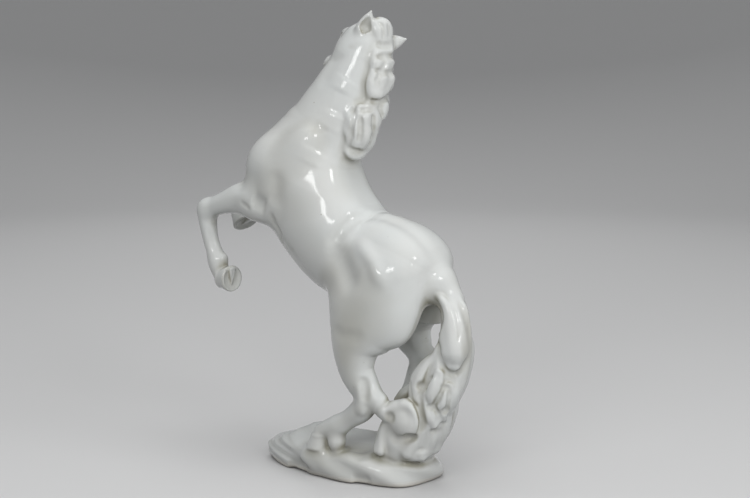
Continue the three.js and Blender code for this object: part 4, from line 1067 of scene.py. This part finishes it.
# Gives each scrap of a casting that is cut off from the rest of it to the casting next to it.
def tidy_labels(field):
    solid = field.d < SKIN_CELLS * field.cell
    number = np.full(field.shape, -1, np.int32)
    number[solid] = np.arange(solid.sum())
    who = field.who[solid]
    pairs = []
    for axis in range(3):
        one = [slice(None)] * 3
        two = [slice(None)] * 3
        one[axis], two[axis] = slice(0, -1), slice(1, None)
        a, b = number[tuple(one)].ravel(), number[tuple(two)].ravel()
        both = (a >= 0) & (b >= 0)
        pairs.append(np.stack((a[both], b[both]), axis=1))
    pairs = np.concatenate(pairs)
    pairs = pairs[who[pairs[:, 0]] == who[pairs[:, 1]]]
    root = np.arange(len(who))
    while True:
        a, b = root[pairs[:, 0]], root[pairs[:, 1]]
        apart = a != b
        if not apart.any():
            break
        pairs, a, b = pairs[apart], a[apart], b[apart]
        np.minimum.at(root, np.maximum(a, b), np.minimum(a, b))
        while True:
            hop = root[root]
            if (hop == root).all():
                break
            root = hop
    count = np.bincount(root, minlength=len(who))
    largest = np.zeros(len(PIECES), int)
    np.maximum.at(largest, who[count > 0], count[count > 0])
    scrap = np.zeros(field.shape, bool)
    scrap[solid] = count[root] < largest[who]
    field.who[scrap], field.rival[scrap] = field.rival[scrap], field.who[scrap]
    field.near[scrap], field.next[scrap] = field.next[scrap] - FAR, field.near[scrap]


# A casting as a closed skin: the figure's surface where it is the nearest, and its joints inside. Past a
# joint's edge the skin runs on for a little and dips under its neighbour, so no gap shows.
def casting(field, name):
    own = field.who == INDEX[name]
    spots = np.stack(np.nonzero(own & (field.d < SKIN_CELLS * field.cell)), axis=1)
    first = np.maximum(spots.min(0) - ROOM_CELLS, 0)
    last = np.minimum(spots.max(0) + ROOM_CELLS + 1, field.shape)
    window = tuple(slice(a, b) for a, b in zip(first, last))
    margin = 0.5 * (field.next[window] - field.near[window])
    apart = np.where(own[window], -margin, margin)
    corner = field.low + field.cell * first
    points, faces = field.surface(np.maximum(field.d[window], apart - OVERLAP), corner)
    outer = field.sample(points) > -OUTER_CELLS * field.cell
    points[outer] = field.settle(points[outer])
    normals = field.gradient(points)
    normals /= np.maximum(np.linalg.norm(normals, axis=1), TINY)[:, None]
    past = np.clip(field.sample(points, apart, corner), 0.0, OVERLAP)
    points -= normals * (DIP * past * outer)[:, None]
    return points, faces, normals, outer


# How deep each point lies in a recess: 0 in the open, towards 1 where the figure closes round it. The glaze
# paints shade by this amount.
def painted_shade_amounts(field, points, normals):
    shade_share = np.zeros(len(points))
    for reach, share in PAINTED_SHADE_FEELERS:
        free = field.sample(points + normals * reach)
        shade_share += np.clip(1.0 - free / reach, 0.0, 1.0) * share
    return shade_share


def make_piece(field, name):
    points, faces, normals, outer = casting(field, name)
    points = np.clip(points, BOX_LOW, BOX_HIGH)
    mesh = bpy.data.meshes.new(name)
    mesh.from_pydata(((points + SHIFT) / MM_PER_M).tolist(), [], faces.tolist())
    mesh.polygons.foreach_set("use_smooth", np.ones(len(faces), bool))
    mesh.update()
    piece = bpy.data.objects.new(name + "_glazed", mesh)
    bpy.context.collection.objects.link(piece)
    # Painted shade: how far each point lies in a recess, kept in the hollow attribute so the glaze darkens it
    # there
    shade_share = np.where(outer, painted_shade_amounts(field, points, normals), 0.0)
    mesh.attributes.new("hollow", "FLOAT", "POINT").data.foreach_set("value", shade_share.astype(np.float32))
    plain = np.empty(3 * len(points), np.float32)
    mesh.vertices.foreach_get("normal", plain)
    normals = np.where(outer[:, None], normals, plain.reshape(-1, 3))
    mesh.normals_split_custom_set_from_vertices(normals.tolist())
    return piece


# A mix node's sockets for colours: the first, the second and the result
MIX_FIRST, MIX_SECOND, MIX_RESULT = 6, 7, 2
# The glaze: its gloss, the drift of the body's colour from cool to warm, and the shade painted into recesses.
# Each noise is its scale and its detail.
GLAZE_INPUTS = {"IOR": 1.5, "Coat Weight": 0.25, "Coat Roughness": 0.04}
DRIFT_NOISE = (28, 3)
DRIFT_SPAN = (0.35, 0.65)
COOL = (0.985, 1, 1.012)
PAINTED_SHADE_SPAN = (0.08, 0.68)
# Pin-prick specks from the kiln: how dense, how large and their colour
SPECK_SCALE = 70
SPECK_SPAN = (0.034, 0.022)
SPECK_COLOUR = (0.46, 0.44, 0.40, 1)
# The bare foot: the height where the glaze ends, colour and roughness
FOOT_SPAN = (0.0011, 0.0006)
FOOT_COLOUR = (0.56, 0.53, 0.47, 1)
FOOT_ROUGHNESS = (0.75, 0.75, 0.75, 1)
# Patches of more and less gloss, and ripples in the glaze
GLOSS_NOISE = (45, 4)
RIPPLE_NOISE = (110, 2)
RIPPLE_STRENGTH = 0.12
RIPPLE_DEPTH = 0.0004
BLACK = (0, 0, 0, 1)
WHITE = (1, 1, 1, 1)


# A glaze over white porcelain. A bare foot is wiped clean of it up to about a millimetre above the ground.
def glaze(name, body, painted_shade, rough, bare_foot=False):
    paint = bpy.data.materials.new(name)
    paint.use_nodes = True
    nodes, links = paint.node_tree.nodes, paint.node_tree.links
    shader = nodes["Principled BSDF"]
    for socket, value in GLAZE_INPUTS.items():
        shader.inputs[socket].default_value = value
    place = nodes.new("ShaderNodeTexCoord").outputs["Object"]

    def noise(scale, detail):
        node = nodes.new("ShaderNodeTexNoise")
        node.inputs["Scale"].default_value = scale
        node.inputs["Detail"].default_value = detail
        links.new(place, node.inputs["Vector"])
        return node.outputs["Fac"]

    # Goes from one colour to another over a span of its source; a span may run downwards
    def ramp(source, span, first, last):
        node = nodes.new("ShaderNodeValToRGB")
        stops = sorted(zip(span, (first, last)))
        for element, (position, colour) in zip(node.color_ramp.elements, stops):
            element.position = position
            element.color = colour
        links.new(source, node.inputs["Fac"])
        return node.outputs["Color"]

    # Lays a plain colour over another as far as the factor says
    def cover(factor, under, colour):
        node = nodes.new("ShaderNodeMix")
        node.data_type = "RGBA"
        links.new(factor, node.inputs["Factor"])
        links.new(under, node.inputs[MIX_FIRST])
        node.inputs[MIX_SECOND].default_value = colour
        return node.outputs[MIX_RESULT]

    cool = [share * part for share, part in zip(COOL, body)]
    colour = ramp(noise(*DRIFT_NOISE), DRIFT_SPAN, (*cool, 1), (*body, 1))
    # Painted shade: a darker olive colour laid over the body as far as the hollow attribute says a point lies
    # in a recess
    shade_node = nodes.new("ShaderNodeAttribute")
    shade_node.attribute_name = "hollow"
    colour = cover(ramp(shade_node.outputs["Fac"], PAINTED_SHADE_SPAN, BLACK, WHITE), colour, (*painted_shade, 1))
    specks = nodes.new("ShaderNodeTexVoronoi")
    specks.inputs["Scale"].default_value = SPECK_SCALE
    links.new(place, specks.inputs["Vector"])
    colour = cover(ramp(specks.outputs["Distance"], SPECK_SPAN, BLACK, WHITE), colour, SPECK_COLOUR)
    gloss = nodes.new("ShaderNodeMapRange")
    gloss.inputs["To Min"].default_value = rough[0]
    gloss.inputs["To Max"].default_value = rough[1]
    links.new(noise(*GLOSS_NOISE), gloss.inputs["Value"])
    gleam = gloss.outputs["Result"]
    if bare_foot:
        height = nodes.new("ShaderNodeSeparateXYZ")
        links.new(place, height.inputs["Vector"])
        bare = ramp(height.outputs["Z"], FOOT_SPAN, BLACK, WHITE)
        colour = cover(bare, colour, FOOT_COLOUR)
        gleam = cover(bare, gleam, FOOT_ROUGHNESS)
    links.new(colour, shader.inputs["Base Color"])
    links.new(gleam, shader.inputs["Roughness"])
    ripple = nodes.new("ShaderNodeBump")
    ripple.inputs["Strength"].default_value = RIPPLE_STRENGTH
    ripple.inputs["Distance"].default_value = RIPPLE_DEPTH
    links.new(noise(*RIPPLE_NOISE), ripple.inputs["Height"])
    links.new(ripple.outputs["Normal"], shader.inputs["Normal"])
    return paint


# Each glaze: colour of the body, colour of the shade painted in recesses, and least and greatest roughness
GLAZES = {
    "porcelain": glaze("porcelain_glaze", (0.70, 0.71, 0.69), (0.38, 0.37, 0.31), (0.07, 0.16)),
    "rock_porcelain": glaze("rock_glaze", (0.685, 0.695, 0.675), (0.37, 0.365, 0.31), (0.08, 0.18), True),
}

figure = sculpt()
record_slots = {part["node"]: part["material_slot"] for part in frame["record"]["subparts"]}
for name in PIECES:
    piece = make_piece(figure, name)
    piece.data.materials.append(GLAZES[record_slots[name]])
    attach(piece, "root")
    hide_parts(name)


# Places a camera or lamp, level, with its look along a direction.
def aim(obj, place, look):
    back = -Vector(look).normalized()
    right = Vector((0, 0, 1)).cross(back).normalized()
    turn = Matrix((right, back.cross(right), back)).transposed()
    obj.matrix_world = Matrix.Translation(Vector(place)) @ turn.to_4x4()


# Camera: the photograph's width and the focal length in its pixels, and where the camera stands and looks
PHOTO_WIDTH = 750
FOCAL_PIXELS = 1648
SENSOR_WIDTH = 36.0
CAMERA_PLACE = (0.5787 + SHIFT[0] / MM_PER_M, -0.8060, 0.2764)
CAMERA_TURN = math.radians(35)
CAMERA_DIP = math.radians(8)
camera_data = bpy.data.cameras.new("camera")
camera_data.sensor_width = SENSOR_WIDTH
camera_data.lens = SENSOR_WIDTH * FOCAL_PIXELS / PHOTO_WIDTH
camera = bpy.data.objects.new("camera", camera_data)
bpy.context.collection.objects.link(camera)
level_look = math.cos(CAMERA_DIP)
camera_look = (-math.sin(CAMERA_TURN) * level_look, math.cos(CAMERA_TURN) * level_look, -math.sin(CAMERA_DIP))
aim(camera, CAMERA_PLACE, camera_look)
bpy.context.scene.camera = camera

# Lamps: azimuth, elevation and distance, the height aimed at, width, height, watts, and whether the glaze
# mirrors it. The one overhead has its place instead of a direction.
FIGURE_MIDDLE = 0.14
LAMPS = {
    "key": ((4, 24, 1.3), 0.15, 0.42, 0.13, 1.2, True),
    "kicker": ((64, 30, 1.3), 0.15, 0.22, 0.24, 1.2, True),
    "panel": ((28, 26, 1.5), FIGURE_MIDDLE, 1.0, 1.0, 9, False),
    "fill": ((84, 20, 1.5), FIGURE_MIDDLE, 0.9, 0.9, 8, False),
    "back": ((215, 35, 1.6), FIGURE_MIDDLE, 1.0, 1.0, 5, False),
}
TOP_LAMP = ((-0.05, -0.1, 1.5), FIGURE_MIDDLE, 1.3, 1.3, 9, False)
# The light of the world round the figure
WORLD_COLOUR = (0.80, 0.82, 0.85, 1)
WORLD_STRENGTH = 0.2


def soft_box(name, place, target_height, width, height, watts, in_glaze):
    data = bpy.data.lights.new(name, "AREA")
    data.shape = "RECTANGLE"
    data.size = width
    data.size_y = height
    data.energy = watts
    lamp = bpy.data.objects.new(name, data)
    bpy.context.collection.objects.link(lamp)
    lamp.visible_glossy = in_glaze
    aim(lamp, place, Vector((0, 0, target_height)) - Vector(place))


def round_figure(azimuth, elevation, distance):
    turn, rise = math.radians(azimuth), math.radians(elevation)
    out = math.cos(rise) * distance
    return math.sin(turn) * out, -math.cos(turn) * out, FIGURE_MIDDLE + math.sin(rise) * distance


for name, (direction, *lamp_values) in LAMPS.items():
    soft_box(name, round_figure(*direction), *lamp_values)
soft_box("top", *TOP_LAMP)

world = bpy.data.worlds.new("studio")
world.use_nodes = True
world_light = world.node_tree.nodes["Background"].inputs
world_light["Color"].default_value = WORLD_COLOUR
world_light["Strength"].default_value = WORLD_STRENGTH
bpy.context.scene.world = world

# The studio: radii of the level floor's rings, the sweep up to the wall, the wall's top, and how far the
# floor lies under the foot
FLOOR_RADII = (0.4, 0.9, 1.4)
SWEEP_RADIUS = 0.9
SWEEP_STEPS = 16
WALL_TOP = 1.4
FLOOR_DROP = 0.0005
FLOOR_TURNS = 96
# The floor's colour to the eye and in the light that it throws back, and its sheen
FLOOR_SEEN = (0.66, 0.66, 0.66, 1)
FLOOR_BOUNCE = (0.2, 0.2, 0.2, 1)
FLOOR_ROUGHNESS = 0.85
FLOOR_SPECULAR = 0.2


# A round floor whose rim sweeps up into a wall.
def studio_mesh():
    rim = FLOOR_RADII[-1]
    rings = [(radius, 0.0) for radius in FLOOR_RADII]
    for angle in np.linspace(0, math.pi / 2, SWEEP_STEPS + 1)[1:]:
        rings.append((rim + SWEEP_RADIUS * math.sin(angle), SWEEP_RADIUS - SWEEP_RADIUS * math.cos(angle)))
    rings.append((rim + SWEEP_RADIUS, WALL_TOP))
    verts = [(0.0, 0.0, -FLOOR_DROP)]
    for radius, height in rings:
        for k in range(FLOOR_TURNS):
            angle = 2 * math.pi * k / FLOOR_TURNS
            verts.append((radius * math.cos(angle), radius * math.sin(angle), height - FLOOR_DROP))
    faces = [(0, 1 + k, 1 + (k + 1) % FLOOR_TURNS) for k in range(FLOOR_TURNS)]
    for ring in range(len(rings) - 1):
        for k in range(FLOOR_TURNS):
            a, b = (1 + ring * FLOOR_TURNS + step % FLOOR_TURNS for step in (k, k + 1))
            faces.append((a, a + FLOOR_TURNS, b + FLOOR_TURNS, b))
    mesh = bpy.data.meshes.new("floor")
    mesh.from_pydata(verts, [], faces)
    mesh.polygons.foreach_set("use_smooth", np.ones(len(faces), bool))
    mesh.update()
    return mesh


# Pale to the eye and in the glaze, but with little bounce.
def floor_paint():
    paint = bpy.data.materials.new("floor_paint")
    paint.use_nodes = True
    nodes, links = paint.node_tree.nodes, paint.node_tree.links
    light = nodes.new("ShaderNodeLightPath")
    total = nodes.new("ShaderNodeMath")
    total.use_clamp = True
    more = nodes.new("ShaderNodeMath")
    links.new(light.outputs["Is Camera Ray"], total.inputs[0])
    links.new(light.outputs["Is Glossy Ray"], more.inputs[0])
    links.new(light.outputs["Is Transmission Ray"], more.inputs[1])
    links.new(more.outputs[0], total.inputs[1])
    tone = nodes.new("ShaderNodeMix")
    tone.data_type = "RGBA"
    tone.inputs[MIX_FIRST].default_value = FLOOR_BOUNCE
    tone.inputs[MIX_SECOND].default_value = FLOOR_SEEN
    links.new(total.outputs[0], tone.inputs["Factor"])
    shader = nodes["Principled BSDF"]
    links.new(tone.outputs[MIX_RESULT], shader.inputs["Base Color"])
    shader.inputs["Roughness"].default_value = FLOOR_ROUGHNESS
    shader.inputs["Specular IOR Level"].default_value = FLOOR_SPECULAR
    return paint


floor = bpy.data.objects.new("floor", studio_mesh())
bpy.context.collection.objects.link(floor)
floor.data.materials.append(floor_paint())

bpy.context.scene.view_settings.view_transform = "Standard"
